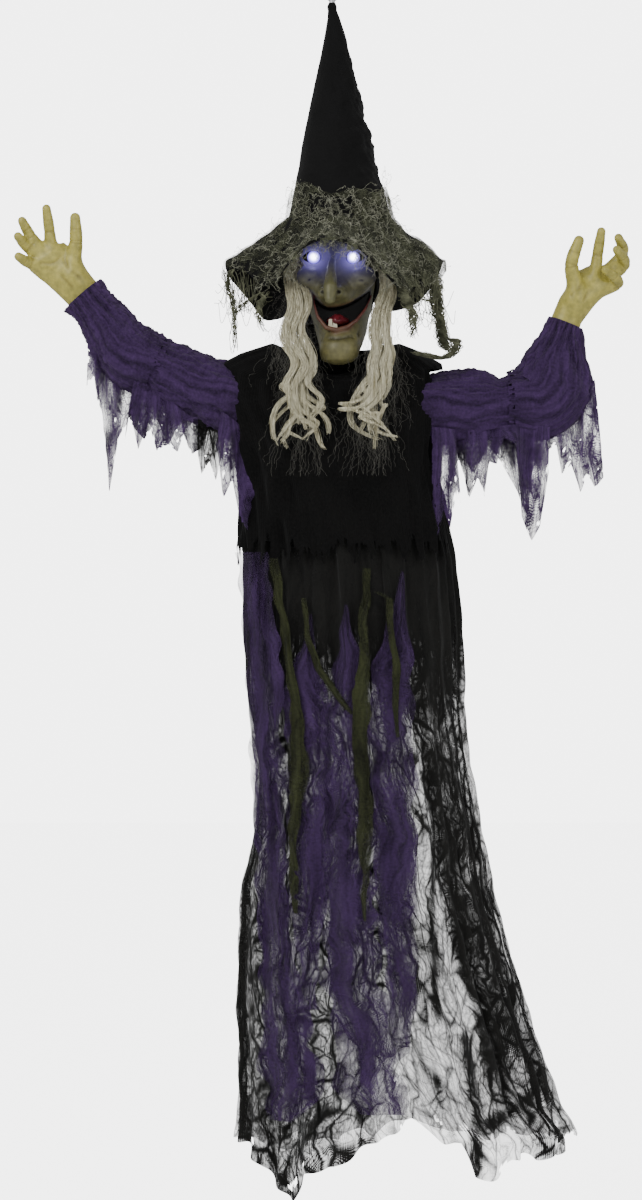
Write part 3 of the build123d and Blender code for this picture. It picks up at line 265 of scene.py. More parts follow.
def gauze(name, dark, light, least, most, crease, cell=(26, 11), thread=0.0016, sheen=0.05):
    """Open-weave cloth: crumpled creases of bunched thread over a sheer net, thicker where marked dense."""
    material, tree, shader = shader_tree(name)
    cut = add_node(tree, "ShaderNodeUVMap", uv_map="cut").outputs[0]
    warp = add_node(tree, "ShaderNodeTexNoise", [("Vector", cut)], Scale=9.0, Detail=3.0).outputs["Color"]
    pulled = add_node(tree, "ShaderNodeVectorMath", [(0, warp)], operation="MULTIPLY").outputs[0]
    pulled.node.inputs[1].default_value = (0.09, 0.09, 0)
    bent = add_node(tree, "ShaderNodeVectorMath", [(0, cut), (1, pulled)], operation="ADD").outputs[0]
    creases = []
    for share, sharp in ((1.0, 15.0), (2.3, 12.0), (5.2, 8.0)):
        scaled = add_node(tree, "ShaderNodeMapping", [("Vector", bent)]).outputs[0]
        scaled.node.inputs["Scale"].default_value = (cell[0] * share, cell[1] * share, 1)
        edge = add_node(tree, "ShaderNodeTexVoronoi", [("Vector", scaled)], feature="DISTANCE_TO_EDGE",
                        Scale=1.0)
        creases.append(minus(tree, 1.0, times(tree, edge.outputs["Distance"], sharp),
                                 clamp=True))
    line = math_node(tree, "MAXIMUM", creases[0], times(tree, creases[1], 0.7))
    line = math_node(tree, "MAXIMUM", line, times(tree, creases[2], 0.4))
    line = times(tree, line, crease)
    fuzz = add_node(tree, "ShaderNodeTexNoise", [("Vector", cut)], Scale=260.0, Detail=3.0).outputs[0]
    drawn = add_node(tree, "ShaderNodeMapping", [("Vector", bent)]).outputs[0]
    drawn.node.inputs["Scale"].default_value = (85, 7, 1)
    streak = add_node(tree, "ShaderNodeTexNoise", [("Vector", drawn)], Scale=1.0, Detail=3.0).outputs[0]
    patch = add_node(tree, "ShaderNodeTexNoise", [("Vector", cut)], Scale=17.0, Detail=4.0).outputs[0]
    dense = add_node(tree, "ShaderNodeAttribute", attribute_name="dense").outputs["Fac"]
    threads = []
    for axis in (0, 1):
        run = add_node(tree, "ShaderNodeSeparateXYZ", [("Vector", bent if axis else cut)]).outputs[axis]
        wave = math_node(tree, "SINE", times(tree, run, 2 * math.pi / thread))
        threads.append(times(tree, plus(tree, wave, 1.0), 0.5))
    weave = math_node(tree, "MAXIMUM", *threads)
    base = plus(tree, least, times(tree, dense, most - least))
    body = times(tree, base, plus(tree, 0.80, times(tree, patch, 0.4)))
    body = times(tree, body, plus(tree, 0.75, times(tree, weave, 0.35)))
    pulls = times(tree, minus(tree, streak, 0.5), 0.35)
    whole = plus(tree, plus(tree, body, pulls), line)
    whole = plus(tree, whole, times(tree, minus(tree, fuzz, 0.5), 0.3),
                      clamp=True)
    tree.links.new(whole, shader.inputs["Alpha"])
    shade = plus(tree, times(tree, patch, 0.25), times(tree, fuzz, 0.25))
    shade = plus(tree, shade, times(tree, streak, 0.5))
    tree.links.new(ramp_node(tree, shade, [(0.35, dark), (0.65, light)]), shader.inputs["Base Color"])
    shader.inputs["Roughness"].default_value = 0.9
    shader.inputs["Specular IOR Level"].default_value = 0.2
    shader.inputs["Sheen Weight"].default_value = sheen
    shader.inputs["Sheen Roughness"].default_value = 0.5
    bump = add_node(tree, "ShaderNodeBump", [("Height", plus(tree, weave, line))], Strength=0.5,
                    Distance=0.0012)
    tree.links.new(bump.outputs[0], shader.inputs["Normal"])
    return material


black_gauze = gauze("black_gauze", (0.0025, 0.0025, 0.0022), (0.010, 0.0098, 0.0085), 0.50, 1.08, 0.42,
                    cell=(24, 9))

GOWN_TOP = -0.80
# Height, left edge and right edge of the hanging gown.
GOWN_SIDES = np.array([
    (-0.780, -0.146, 0.172), (-0.865, -0.141, 0.190), (-0.990, -0.140, 0.201), (-1.082, -0.136, 0.203),
    (-1.180, -0.120, 0.214), (-1.280, -0.121, 0.231), (-1.365, -0.141, 0.245), (-1.465, -0.147, 0.275),
    (-1.547, -0.147, 0.300), (-1.620, -0.143, 0.324), (-1.702, -0.145, 0.348), (-1.745, -0.147, 0.376)])
# Where the torn hem falls, across the figure.
GOWN_HEM = np.array([
    (-0.150, -1.735), (-0.120, -1.780), (-0.100, -1.805), (-0.064, -1.836), (-0.040, -1.795), (0.000, -1.788),
    (0.030, -1.762), (0.090, -1.726), (0.130, -1.720), (0.200, -1.750), (0.222, -1.804), (0.256, -1.797),
    (0.285, -1.768), (0.340, -1.772), (0.376, -1.738)])
GOWN_DEPTHS = np.array([(-0.78, 0.088), (-0.99, 0.092), (-1.28, 0.104), (-1.55, 0.122), (-1.84, 0.142)])
GOWN_LOWEST = -1.838
gown_columns, gown_rows = 420, 200

turn = np.linspace(0, 2 * np.pi, gown_columns, endpoint=False)
drop = np.linspace(0, 1, gown_rows)
turn, drop = np.meshgrid(turn, drop)
hem_x = 0.115 + 0.262 * np.cos(turn)
hem_z = np.interp(hem_x, GOWN_HEM[:, 0], GOWN_HEM[:, 1])
behind = np.sin(turn) < 0
hem_z = np.where(behind, hem_z * 0.35 + -1.755 * 0.65, hem_z)
ring = np.stack([np.cos(turn), np.sin(turn)], -1)
hem_z = hem_z + 0.012 * ripple(ring, 0.16, 3) * (0.4 + 0.6 * np.sin(turn) ** 2)
z = GOWN_TOP + (hem_z - GOWN_TOP) * drop
z = np.maximum(z, GOWN_LOWEST)
left, right = (np.interp(-z, -GOWN_SIDES[:, 0], GOWN_SIDES[:, i]) for i in (1, 2))
depth = np.interp(-z, -GOWN_DEPTHS[:, 0], GOWN_DEPTHS[:, 1])
fall = np.stack([ring[..., 0] * 0.9, ring[..., 1] * 0.9, z * 0.33], -1)
folds = (0.5 * np.cos(11 * turn + 2.2 * ripple(fall, 0.9, 11))
         + 0.35 * np.cos(23 * turn + 2.5 * ripple(fall, 0.7, 12))
         + 0.25 * np.cos(41 * turn + 2 * ripple(fall, 0.5, 13)))
crumple = ripple(np.stack([ring[..., 0] * 0.2, ring[..., 1] * 0.2, z * 0.6], -1), 0.035, 14)
reach = (0.004 + 0.011 * drop) * folds + 0.0028 * crumple * (0.4 + drop)
x = (left + right) / 2 + ((right - left) / 2 - 0.006 + reach * 0.8) * np.cos(turn)
y = -(depth - 0.004 + reach * 1.3) * np.sin(turn)
x = x + 0.004 * ripple(fall, 0.12, 15)
front = step(-0.02, 0.05, -y)
upper = 1 - step(-0.02, 0.26, -z - 1.04 - 0.10 * ripple(np.stack([x, y, z * 0.16], -1), 0.09, 16))
# The dark bunched margin at the figure's left, and the folds that cross the foot below it.
margin = right - np.interp(-z, [0.99, 1.235, 1.54, 1.66, 1.85], [0.080, 0.074, 0.090, 0.100, 0.06])
margin += 0.008 * ripple(np.stack([x * 0, y * 0, z], -1), 0.12, 17)
bunched = step(-0.012, 0.010, x - margin) * step(0.90, 1.02, -z) * (1 - 0.55 * step(1.64, 1.72, -z))
bunched *= 0.92 + 0.25 * ripple(np.stack([x, y, z * 0.2], -1), 0.03, 18)


def crossing_fold(points, width):
    """A dark bunched fold along a line across the front of the gown."""
    place = np.stack([x, z], -1)
    best = np.full(x.shape, 9.0)
    for a, b in zip(points, points[1:]):
        a, b = np.array(a), np.array(b)
        t = np.clip(((place - a) @ (b - a)) / ((b - a) @ (b - a)), 0, 1)
        best = np.minimum(best, np.linalg.norm(place - a - t[..., None] * (b - a), axis=-1))
    return np.exp(-((best / width) ** 2))


crossed = np.maximum.reduce([
    crossing_fold(((0.328, -1.650), (0.290, -1.690), (0.225, -1.725)), 0.012),
    crossing_fold(((0.200, -1.590), (0.218, -1.700), (0.215, -1.790)), 0.011),
    crossing_fold(((0.300, -1.700), (0.330, -1.770)), 0.020) * 0.7,
    crossing_fold(((-0.010, -1.690), (-0.060, -1.770), (-0.085, -1.835)), 0.012),
    crossing_fold(((0.158, -1.230), (0.150, -1.400), (0.158, -1.560)), 0.006) * 0.9,
    crossing_fold(((0.120, -1.240), (0.165, -1.300), (0.200, -1.400)), 0.005) * 0.8])
flank = 1 - step(-0.06, 0.11, x)
trough = step(0.35, 1.1, -folds + 0.3 * ripple(fall, 0.2, 18))
middle = (1 - step(0.10, 0.15, x)) * (1 - step(1.45, 1.62, -z))
dense = np.maximum.reduce([upper * 0.98, bunched, crossed, 0.62 * flank, 0.60 * middle]) + 0.28 * trough
dense = np.clip(dense, 0, 1.1) * front - 0.35 * (1 - front) * (1 - 0.8 * upper)
dense = np.maximum(dense, 1.15 * (1 - step(0.93, 1.10, -z + 0.05 * ripple(fall, 0.05, 19))))
frayed = 1.45 - 0.5 * step(0.93, 1.0, drop)
torn = (drop > 0.9) & (ripple(np.stack([x, y, z * 1.4], -1), 0.028, 19) > frayed)
gown_grid = np.stack([x, np.clip(y, -0.166, 0.166), z], -1)
gown = cloth_piece("gown", gown_grid, black_gauze, dense, torn, closed=True)
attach(gown, "torso")
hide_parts("gown_front", "gown_back")

# ------------------------------------------------------------------ Bodice
# An opaque black knit tunic over the torso shells, open at the neck and the armholes.
# Its lower edge is torn into short points that hang over the gathered top of the gown.


def knit(name, dark, light, rib=0.0042):
    """Opaque soft knit, with faint ribs, lint and a dusty sheen."""
    material, tree, shader = shader_tree(name)
    cut = add_node(tree, "ShaderNodeUVMap", uv_map="cut").outputs[0]
    lint = add_node(tree, "ShaderNodeTexNoise", [("Vector", cut)], Scale=220.0, Detail=4.0).outputs[0]
    cloud = add_node(tree, "ShaderNodeTexNoise", [("Vector", cut)], Scale=14.0, Detail=4.0).outputs[0]
    run = add_node(tree, "ShaderNodeSeparateXYZ", [("Vector", cut)]).outputs[0]
    ribs = math_node(tree, "SINE", times(tree, run, 2 * math.pi / rib))
    shade = plus(tree, times(tree, lint, 0.55), times(tree, cloud, 0.45))
    tree.links.new(ramp_node(tree, shade, [(0.38, dark), (0.68, light)]), shader.inputs["Base Color"])
    height = plus(tree, times(tree, ribs, 0.35), lint)
    bump = add_node(tree, "ShaderNodeBump", [("Height", height)], Strength=0.6, Distance=0.0012)
    tree.links.new(bump.outputs[0], shader.inputs["Normal"])
    shader.inputs["Roughness"].default_value = 0.95
    shader.inputs["Specular IOR Level"].default_value = 0.15
    shader.inputs["Sheen Weight"].default_value = 0.02
    return material


def between(stations, values):
    """Interpolate rows of numbers, whose first is the position, at many positions."""
    stations = np.array(stations, float)
    return [np.interp(values, stations[:, 0], stations[:, i]) for i in range(1, stations.shape[1])]


black_knit = knit("black_knit", (0.0012, 0.0012, 0.0012), (0.0050, 0.0048, 0.0046))
# Share of the way down; left, right, front and back in plan; height at the sides, front and back.
BODICE = (
    (0.00, -0.056, 0.060, 0.040, 0.044, -0.548, -0.584, -0.540),
    (0.08, -0.092, 0.100, 0.058, 0.056, -0.534, -0.589, -0.545),
    (0.17, -0.140, 0.140, 0.074, 0.070, -0.549, -0.597, -0.556),
    (0.25, -0.172, 0.167, 0.084, 0.080, -0.565, -0.610, -0.575),
    (0.35, -0.176, 0.171, 0.089, 0.084, -0.602, -0.640, -0.612),
    (0.48, -0.160, 0.167, 0.091, 0.086, -0.652, -0.682, -0.657),
    (0.64, -0.145, 0.163, 0.092, 0.088, -0.712, -0.726, -0.712),
    (0.82, -0.142, 0.170, 0.094, 0.091, -0.782, -0.787, -0.782),
    (1.00, -0.142, 0.184, 0.101, 0.097, -0.868, -0.870, -0.868))
turn, share = np.meshgrid(np.linspace(0, 2 * np.pi, 320, endpoint=False), np.linspace(0, 1, 110))
left, right, front_y, back_y, side_z, front_z, back_z = between(BODICE, share)
sine, cosine = np.sin(turn), np.cos(turn)
fall = np.stack([cosine * 0.4, sine * 0.4, share * 0.35], -1)
folds = ripple(fall, 0.10, 21) + 0.5 * ripple(fall * (1, 1, 0.4), 0.05, 22)
out = (0.0018 + 0.004 * share) * folds
x = (left + right) / 2 + ((right - left) / 2 + out) * np.sign(cosine) * np.abs(cosine) ** 0.9
y = -np.where(sine > 0, front_y, back_y) * np.sign(sine) * np.abs(sine) ** 0.9 - out * sine
z = side_z * cosine**2 + np.where(sine > 0, front_z, back_z) * sine**2
z = z + step(0.8, 1.0, share) * 0.014 * ripple(np.stack([cosine, sine], -1), 0.18, 23)
armhole = (np.abs(y) < 0.040) & (z < -0.574) & (z > -0.662) & (np.abs(x) > 0.13)
jagged = 0.90 + 0.035 * ripple(np.stack([cosine, sine], -1), 0.11, 24) + 0.03 * ripple(
    np.stack([cosine, sine], -1), 0.04, 25)
torn = armhole | (share > jagged + 0.055)
bodice_grid = np.stack([x, y, z], -1)
bodice = cloth_piece("bodice_cloth", bodice_grid, black_knit, np.ones(x.shape), torn,
                     closed=True)
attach(bodice, "torso")
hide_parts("bodice")

# ------------------------------------------------------------------ Strips over the gown
# Long ribbons of torn gauze sewn under the bodice's edge: four purple ones against the gown,
# and three of moss-green creepy cloth over them, one of which forks. They hang free to the knee.
FRONT_CELL = 0.006
FRONT_X = np.arange(-0.24, 0.42, FRONT_CELL)
FRONT_Z = np.arange(-1.90, -0.50, FRONT_CELL)
front_map = np.zeros((len(FRONT_Z), len(FRONT_X)))


def add_front(points):
    """Record how far forward the cloth hangs, so that the next layer lies over it."""
    points = points.reshape(-1, 3)
    column = np.clip(np.round((points[:, 0] - FRONT_X[0]) / FRONT_CELL).astype(int), 0, len(FRONT_X) - 1)
    row = np.clip(np.round((points[:, 2] - FRONT_Z[0]) / FRONT_CELL).astype(int), 0, len(FRONT_Z) - 1)
    np.minimum.at(front_map, (row, column), points[:, 1])


def front_y_at(x, z, spread=3):
    """The foremost cloth near each place."""
    column = np.clip(np.round((x - FRONT_X[0]) / FRONT_CELL).astype(int), spread, len(FRONT_X) - 1 - spread)
    row = np.clip(np.round((z - FRONT_Z[0]) / FRONT_CELL).astype(int), spread, len(FRONT_Z) - 1 - spread)
    y = np.zeros(x.shape)
    for i in range(-spread, spread + 1):
        for j in range(-spread, spread + 1):
            y = np.minimum(y, front_map[row + i, column + j])
    return y


def strip_grid(line, seed, rows=260, columns=26, gap=0.003, curl=0.006, rag=0.22):
    """A ribbon down the front: line holds rows of height, centre x and width."""
    line = np.array(line)
    z, v = np.meshgrid(np.linspace(line[0, 0], line[-1, 0], rows), np.linspace(-1, 1, columns), indexing="ij")
    centre, width = (np.interp(-z, -line[:, 0], line[:, i]) for i in (1, 2))
    plan = np.stack([z * 0.6, v * 0.02], -1)
    centre = centre + 0.003 * ripple(plan[:, :1] * (1, 0), 0.06, seed)
    side = np.where(v < 0, ripple(plan * (1, 0), 0.03, seed + 1), ripple(plan * (1, 0), 0.03, seed + 2))
    x = centre + v * width / 2 * (1 + rag * side * np.abs(v))
    y = front_y_at(x, z)
    for _ in range(6):
        y[1:-1] = np.minimum(y[1:-1], (y[:-2] + y[1:-1] + y[2:]) / 3)
        y[:, 1:-1] = np.minimum(y[:, 1:-1], (y[:, :-2] + y[:, 1:-1] + y[:, 2:]) / 3)
    fold = np.cos(v * np.pi * 1.5 + 1.2 * ripple(plan * (1, 0), 0.16, seed + 3))
    y = y - gap - curl * (0.5 + 0.5 * fold) * np.minimum(1, width / 0.03)
    return np.stack([x, np.maximum(y, -0.172), z], -1), v


def strip_set(name, lines, material, node, seed, gap, dense_level, holes):
    """Several ribbons as one piece."""
    grids, marks, tears = [], [], []
    for i, line in enumerate(lines):
        grid, v = strip_grid(line, seed + 10 * i, gap=gap)
        ends = np.linspace(0, 1, grid.shape[0])[:, None]
        frayed = 0.9 * step(0.9, 1.0, ends)
        tear = ripple(grid * (1.0, 0.2, 0.6), 0.016, seed + 10 * i + 5) > holes - frayed - (
            0.5 * step(0.75, 1.0, np.abs(v)))
        grids.append(grid)
        feather = (1 - step(0.55, 1.0, np.abs(v))) * 0.6 + 0.4
        feather = feather * (0.25 + 0.75 * step(0.0, 0.10, ends)) * (1 - 0.3 * step(0.9, 1.0, ends))
        mark = dense_level + 0.35 * ripple(grid * (1, 0.3, 0.15), 0.03, seed + 10 * i + 6)
        marks.append(np.clip(mark * feather, 0, 1.2))
        tears.append(tear)
    for grid in grids:
        add_front(grid)
    joined = np.concatenate(grids, 1)
    tear = np.concatenate(tears, 1)
    seam = np.cumsum([g.shape[1] for g in grids])[:-1] - 1
    tear[:, seam] = True
    cut = np.concatenate([flat_cut(g, False) + (0.08 * i, 0) for i, g in enumerate(grids)], 1)
    faces = grid_faces(*joined.shape[:2], kept=~tear)
    points, faces, cut, dense = compact(joined.reshape(-1, 3), faces, cut.reshape(-1, 2),
                                        np.concatenate(marks, 1).reshape(-1))
    piece = make_piece(name, points, faces, material, cut, marks={"dense": dense})
    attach(piece, "torso")
    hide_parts(node)
    return piece


add_front(gown_grid[:, : gown_columns // 2 + 1])
purple_gauze = gauze("purple_gauze", (0.0070, 0.0028, 0.0130), (0.060, 0.030, 0.100), 0.30, 1.15, 0.25,
                     cell=(60, 12), sheen=0.06)
moss_gauze = gauze("moss_gauze", (0.0040, 0.0046, 0.0018), (0.042, 0.048, 0.019), 0.35, 1.2, 0.4,
                   cell=(110, 80), thread=0.0030, sheen=0.03)
PURPLE_LINES = (
    ((-0.855, -0.122, 0.050), (-1.00, -0.106, 0.050), (-1.25, -0.098, 0.052), (-1.45, -0.086, 0.048),
     (-1.56, -0.072, 0.070), (-1.64, -0.060, 0.096), (-1.68, -0.064, 0.080), (-1.715, -0.076, 0.030)),
    ((-0.950, -0.036, 0.004), (-1.00, -0.034, 0.022), (-1.06, -0.040, 0.066), (-1.25, -0.036, 0.072),
     (-1.42, -0.036, 0.050), (-1.51, -0.040, 0.026), (-1.545, -0.038, 0.034)),
    ((-0.935, 0.018, 0.004), (-1.00, 0.024, 0.030), (-1.10, 0.020, 0.070), (-1.35, 0.022, 0.080),
     (-1.50, 0.034, 0.084), (-1.58, 0.052, 0.100), (-1.66, 0.060, 0.106), (-1.70, 0.072, 0.070)),
    ((-0.885, 0.104, 0.004), (-0.95, 0.100, 0.024), (-1.02, 0.094, 0.054), (-1.16, 0.090, 0.072),
     (-1.35, 0.098, 0.062), (-1.52, 0.104, 0.048), (-1.60, 0.106, 0.024)))
MOSS_LINES = (
    ((-0.865, -0.092, 0.014), (-0.95, -0.074, 0.014), (-1.02, -0.064, 0.013), (-1.09, -0.056, 0.018),
     (-1.16, -0.050, 0.030), (-1.21, -0.054, 0.026), (-1.28, -0.058, 0.013), (-1.36, -0.058, 0.014),
     (-1.40, -0.054, 0.006)),
    ((-0.880, 0.050, 0.012), (-1.00, 0.046, 0.015), (-1.08, 0.044, 0.026), (-1.18, 0.046, 0.022),
     (-1.27, 0.050, 0.024), (-1.34, 0.050, 0.012), (-1.41, 0.052, 0.005)),
    ((-0.925, -0.042, 0.007), (-0.985, -0.034, 0.010), (-1.03, -0.022, 0.012), (-1.065, 0.004, 0.012),
     (-1.10, 0.032, 0.012)),
    ((-0.915, 0.066, 0.008), (-0.925, 0.084, 0.010), (-0.98, 0.090, 0.010), (-1.06, 0.096, 0.012),
     (-1.135, 0.100, 0.005)))
strip_set("purple_ribbons", PURPLE_LINES, purple_gauze, "purple_strips", 100, 0.002,
                          0.62, 1.9)
strip_set("moss_ribbons", MOSS_LINES, moss_gauze, "moss_strips", 200, 0.0015, 0.7, 1.35)

# ------------------------------------------------------------------ Sleeves
# Each arm wears a loose purple gauze sleeve, gathered over the armhole and folded at the wrist.
# It is made here in two overlapping parts, the lower one curved round the elbow.
ARMS = {
    "right": dict(shoulder=(-0.165, -0.607), elbow=(-0.30374, -0.54998), wrist=(-0.385, -0.455),
                  upper_end=0.150),
    "left": dict(shoulder=(0.165, -0.620), elbow=(0.3149, -0.61458), wrist=(0.360, -0.498), upper_end=0.150)}
# Distance along the arm from the shoulder or the elbow, then reach above, below, and front and back.
UPPER_SLEEVES = {
    "right": ((-0.036, 0.040, 0.066, 0.058), (0.000, 0.043, 0.062, 0.056), (0.050, 0.040, 0.060, 0.048),
              (0.090, 0.040, 0.056, 0.044), (0.138, 0.034, 0.048, 0.038)),
    "left": ((-0.030, 0.036, 0.072, 0.058), (0.000, 0.040, 0.070, 0.056), (0.045, 0.043, 0.066, 0.050),
             (0.072, 0.041, 0.062, 0.046), (0.093, 0.026, 0.060, 0.042), (0.112, 0.034, 0.058, 0.042),
             (0.138, 0.032, 0.050, 0.038))}
LOWER_SLEEVES = {
    "right": ((-0.046, 0.040, 0.055, 0.043), (0.000, 0.044, 0.058, 0.046), (0.030, 0.036, 0.052, 0.044),
              (0.060, 0.037, 0.042, 0.040), (0.090, 0.033, 0.034, 0.036), (0.120, 0.035, 0.035, 0.035)),
    "left": ((-0.046, 0.038, 0.060, 0.044), (0.000, 0.043, 0.074, 0.048), (0.030, 0.042, 0.078, 0.048),
             (0.052, 0.040, 0.070, 0.044), (0.080, 0.031, 0.050, 0.038), (0.120, 0.027, 0.027, 0.029))}


def plane_point(place, y=0.0):
    """A point in space from its x and z."""
    return np.array([place[0], y, place[1]])


def sleeve_grid(arm, stations, after_elbow, seed, rows=90, columns=150):
    """A crumpled tube along one arm, whose section changes down the stations."""
    shoulder, elbow, wrist = (plane_point(arm[name]) for name in ("shoulder", "elbow", "wrist"))
    upper = (elbow - shoulder) / np.linalg.norm(elbow - shoulder)
    lower = (wrist - elbow) / np.linalg.norm(wrist - elbow)
    along = np.linspace(stations[0][0], stations[-1][0], rows)
    above, below, depth = between(stations, along)
    if after_elbow:
        bend = step(-0.024, 0.024, along)[:, None]
        heading = upper * (1 - bend) + lower * bend
        soft = np.logaddexp(0, along / 0.008) * 0.008
        spine = elbow + lower * soft[:, None] + upper * (along - soft)[:, None]
    else:
        heading = np.repeat(upper[None], rows, 0)
        spine = shoulder + upper * along[:, None]
    heading /= np.linalg.norm(heading, axis=1)[:, None]
    inner = np.stack([-heading[:, 2], np.zeros(rows), heading[:, 0]], 1) * np.sign(upper[0])
    turn = np.linspace(0, 2 * np.pi, columns, endpoint=False)
    sine, cosine = np.sin(turn), np.cos(turn)
    reach = np.where(sine > 0, above[:, None], below[:, None])
    plan = np.stack(np.broadcast_arrays(0.3 * cosine[None], 0.3 * sine[None], along[:, None] * 2.4), -1)
    drape = 0.6 * ripple(plan, 0.09, seed) + 0.5 * ripple(plan * (1.6, 1.6, 1.2), 0.05, seed + 1)
    rings = 0.0035 * drape + 0.0012 * ripple(plan, 0.02, seed + 2)
    points = spine[:, None] + inner[:, None] * ((reach + rings) * sine)[..., None]
    points[..., 1] += (depth[:, None] + rings) * cosine
    return points, plan, upper, lower


sleeve_cloth = gauze("sleeve_gauze", (0.0100, 0.0045, 0.0180), (0.075, 0.036, 0.125), 0.50, 1.6, 0.3,
                     cell=(40, 40), sheen=0.06)
for side, arm in ARMS.items():
    seed = 300 if side == "right" else 340
    grid, plan, upper, lower = sleeve_grid(arm, UPPER_SLEEVES[side], False, seed)
    torn = np.zeros(grid.shape[:2], bool)
    upper_sleeve = cloth_piece(f"{side}_sleeve_upper", grid, sleeve_cloth, np.ones(torn.shape), torn,
                               closed=True, outward=side == "right")
    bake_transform(upper_sleeve)
    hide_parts(f"{side}_upper_sleeve")
    grid, plan, upper, lower = sleeve_grid(arm, LOWER_SLEEVES[side], True, seed + 10)
    torn = np.zeros(grid.shape[:2], bool)
    torn[:5] = ripple(plan, 0.04, seed + 14)[:5] > 0.2
    lower_sleeve = cloth_piece(f"{side}_sleeve_lower", grid, sleeve_cloth, np.ones(torn.shape), torn,
                               closed=True, outward=side == "right")
    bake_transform(lower_sleeve)
    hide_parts(f"{side}_forearm_sleeve")

# ------------------------------------------------------------------ Sleeve rags
# Torn panels of the same gauze hang from the lower edge of each sleeve, more open than the sleeve.
# Their edges are ripped into points; only the panels whose body is the torso are fixed to it.
# Body; top edge as x and z; depth; the torn lower outline as x and z, each a list of pairs.
RAGS = {
    "right_arm_rag": ("right_upper_arm", -0.030, ((-0.300, -0.585), (-0.215, -0.648)), (
        (-0.318, -0.690), (-0.308, -0.640), (-0.296, -0.700), (-0.280, -0.655), (-0.268, -0.700),
        (-0.250, -0.690), (-0.236, -0.702), (-0.224, -0.668), (-0.205, -0.650))),
    "right_arm_rag_back": ("right_upper_arm", 0.030, ((-0.305, -0.585), (-0.190, -0.655)), (
        (-0.312, -0.655), (-0.290, -0.680), (-0.270, -0.650), (-0.252, -0.690), (-0.236, -0.655),
        (-0.216, -0.705), (-0.196, -0.690))),
    "right_elbow_rag": ("right_forearm", -0.012, ((-0.374, -0.545), (-0.302, -0.590)), (
        (-0.376, -0.600), (-0.364, -0.584), (-0.360, -0.620), (-0.352, -0.640), (-0.347, -0.700),
        (-0.341, -0.765), (-0.333, -0.720), (-0.326, -0.680), (-0.318, -0.665), (-0.308, -0.650),
        (-0.298, -0.640))),
    "left_arm_rag": ("left_upper_arm", -0.030, ((0.190, -0.668), (0.334, -0.655)), (
        (0.190, -0.700), (0.200, -0.730), (0.209, -0.774), (0.222, -0.740), (0.232, -0.772), (0.240, -0.716),
        (0.252, -0.720), (0.262, -0.680), (0.280, -0.690), (0.290, -0.800), (0.305, -0.838), (0.318, -0.815),
        (0.330, -0.735))),
    "left_arm_rag_back": ("left_upper_arm", 0.032, ((0.180, -0.670), (0.310, -0.655)), (
        (0.182, -0.745), (0.200, -0.700), (0.218, -0.735), (0.240, -0.690), (0.262, -0.715), (0.285, -0.760),
        (0.300, -0.805), (0.310, -0.745))),
    "left_elbow_rag": ("left_forearm", -0.010, ((0.328, -0.660), (0.402, -0.590)), (
        (0.328, -0.700), (0.343, -0.690), (0.352, -0.735),
        (0.366, -0.720), (0.380, -0.764), (0.392, -0.735), (0.404, -0.756), (0.416, -0.740))),
    "right_torso_rag": ("torso", -0.052, ((-0.168, -0.640), (-0.134, -0.665)), (
        (-0.176, -0.690), (-0.166, -0.775), (-0.152, -0.745), (-0.140, -0.806), (-0.122, -0.830),
        (-0.112, -0.815))),
    "left_torso_rag": ("torso", -0.052, ((0.152, -0.664), (0.186, -0.668)), (
        (0.152, -0.800), (0.160, -0.836), (0.170, -0.790), (0.180, -0.818), (0.190, -0.760),
        (0.196, -0.780)))}


def rag_grid(top, outline, depth, seed, rows=90, columns=64):
    """A torn panel from its top edge down to its lower outline, in loose upright folds."""
    v, u = np.meshgrid(np.linspace(0, 1, rows), np.linspace(0, 1, columns), indexing="ij")
    (x0, z0), (x1, z1) = top
    top_x, top_z = x0 + (x1 - x0) * u, z0 + (z1 - z0) * u
    outline = np.array(outline)
    low_x = outline[0, 0] + (outline[-1, 0] - outline[0, 0]) * u
    low_z = np.interp(low_x, outline[:, 0], outline[:, 1])
    x = top_x + (low_x - top_x) * v**0.8
    z = top_z + (low_z - top_z) * v
    plan = np.stack([x, z * 0.25], -1)
    y = depth + (0.004 + 0.012 * v) * ripple(plan, 0.035, seed)
    y = y + 0.003 * ripple(plan * (1, 4), 0.02, seed + 1)
    return np.stack([x, y, z], -1), v, u


def make_rag(name, body, material, grid, v, u, seed, nodes=(), level=0.35):
    """Cut holes and frayed edges into a panel, and fix it to its body only when that is the torso."""
    x_z = grid[..., [0, 2]]
    hole = ripple(x_z * (1.6, 0.7), 0.016, seed + 2) + 0.4 * ripple(x_z, 0.006, seed + 3)
    edge = np.maximum(step(0.88, 1.0, np.abs(2 * u - 1)), step(0.85, 1.0, v))
    torn = hole > 1.65 - 0.9 * edge - 0.3 * v
    dense = np.clip(level + 0.5 * (1 - v) ** 2 + 0.25 * ripple(x_z * (1, 0.3), 0.02, seed + 4), 0, 1)
    rag = cloth_piece(name, grid, material, dense, torn, outward=False)
    if body == "torso":
        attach(rag, body)
    else:
        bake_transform(rag)
    for node in nodes:
        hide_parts(node)
    return rag


rag_cloth = gauze("rag_gauze", (0.014, 0.006, 0.026), (0.085, 0.042, 0.140), 0.55, 1.35, 0.35, cell=(70, 30),
                  sheen=0.06)
for count, (name, (body, depth, top, outline)) in enumerate(RAGS.items()):
    grid, v, u = rag_grid(top, outline, depth, 400 + 10 * count)
    nodes = [name.replace("elbow_rag", "sleeve_strips")] if name.endswith("elbow_rag") else []
    make_rag(name, body, rag_cloth, grid, v, u, 400 + 10 * count, nodes)
grid, v, u = rag_grid(((-0.205, -0.640), (-0.172, -0.650)), (
    (-0.206, -0.700), (-0.200, -0.735), (-0.188, -0.715), (-0.178, -0.745), (-0.166, -0.700),
    (-0.158, -0.650)), -0.02,
    490)
make_rag("right_black_rag", "torso", black_gauze, grid, v, u, 490, level=0.5)

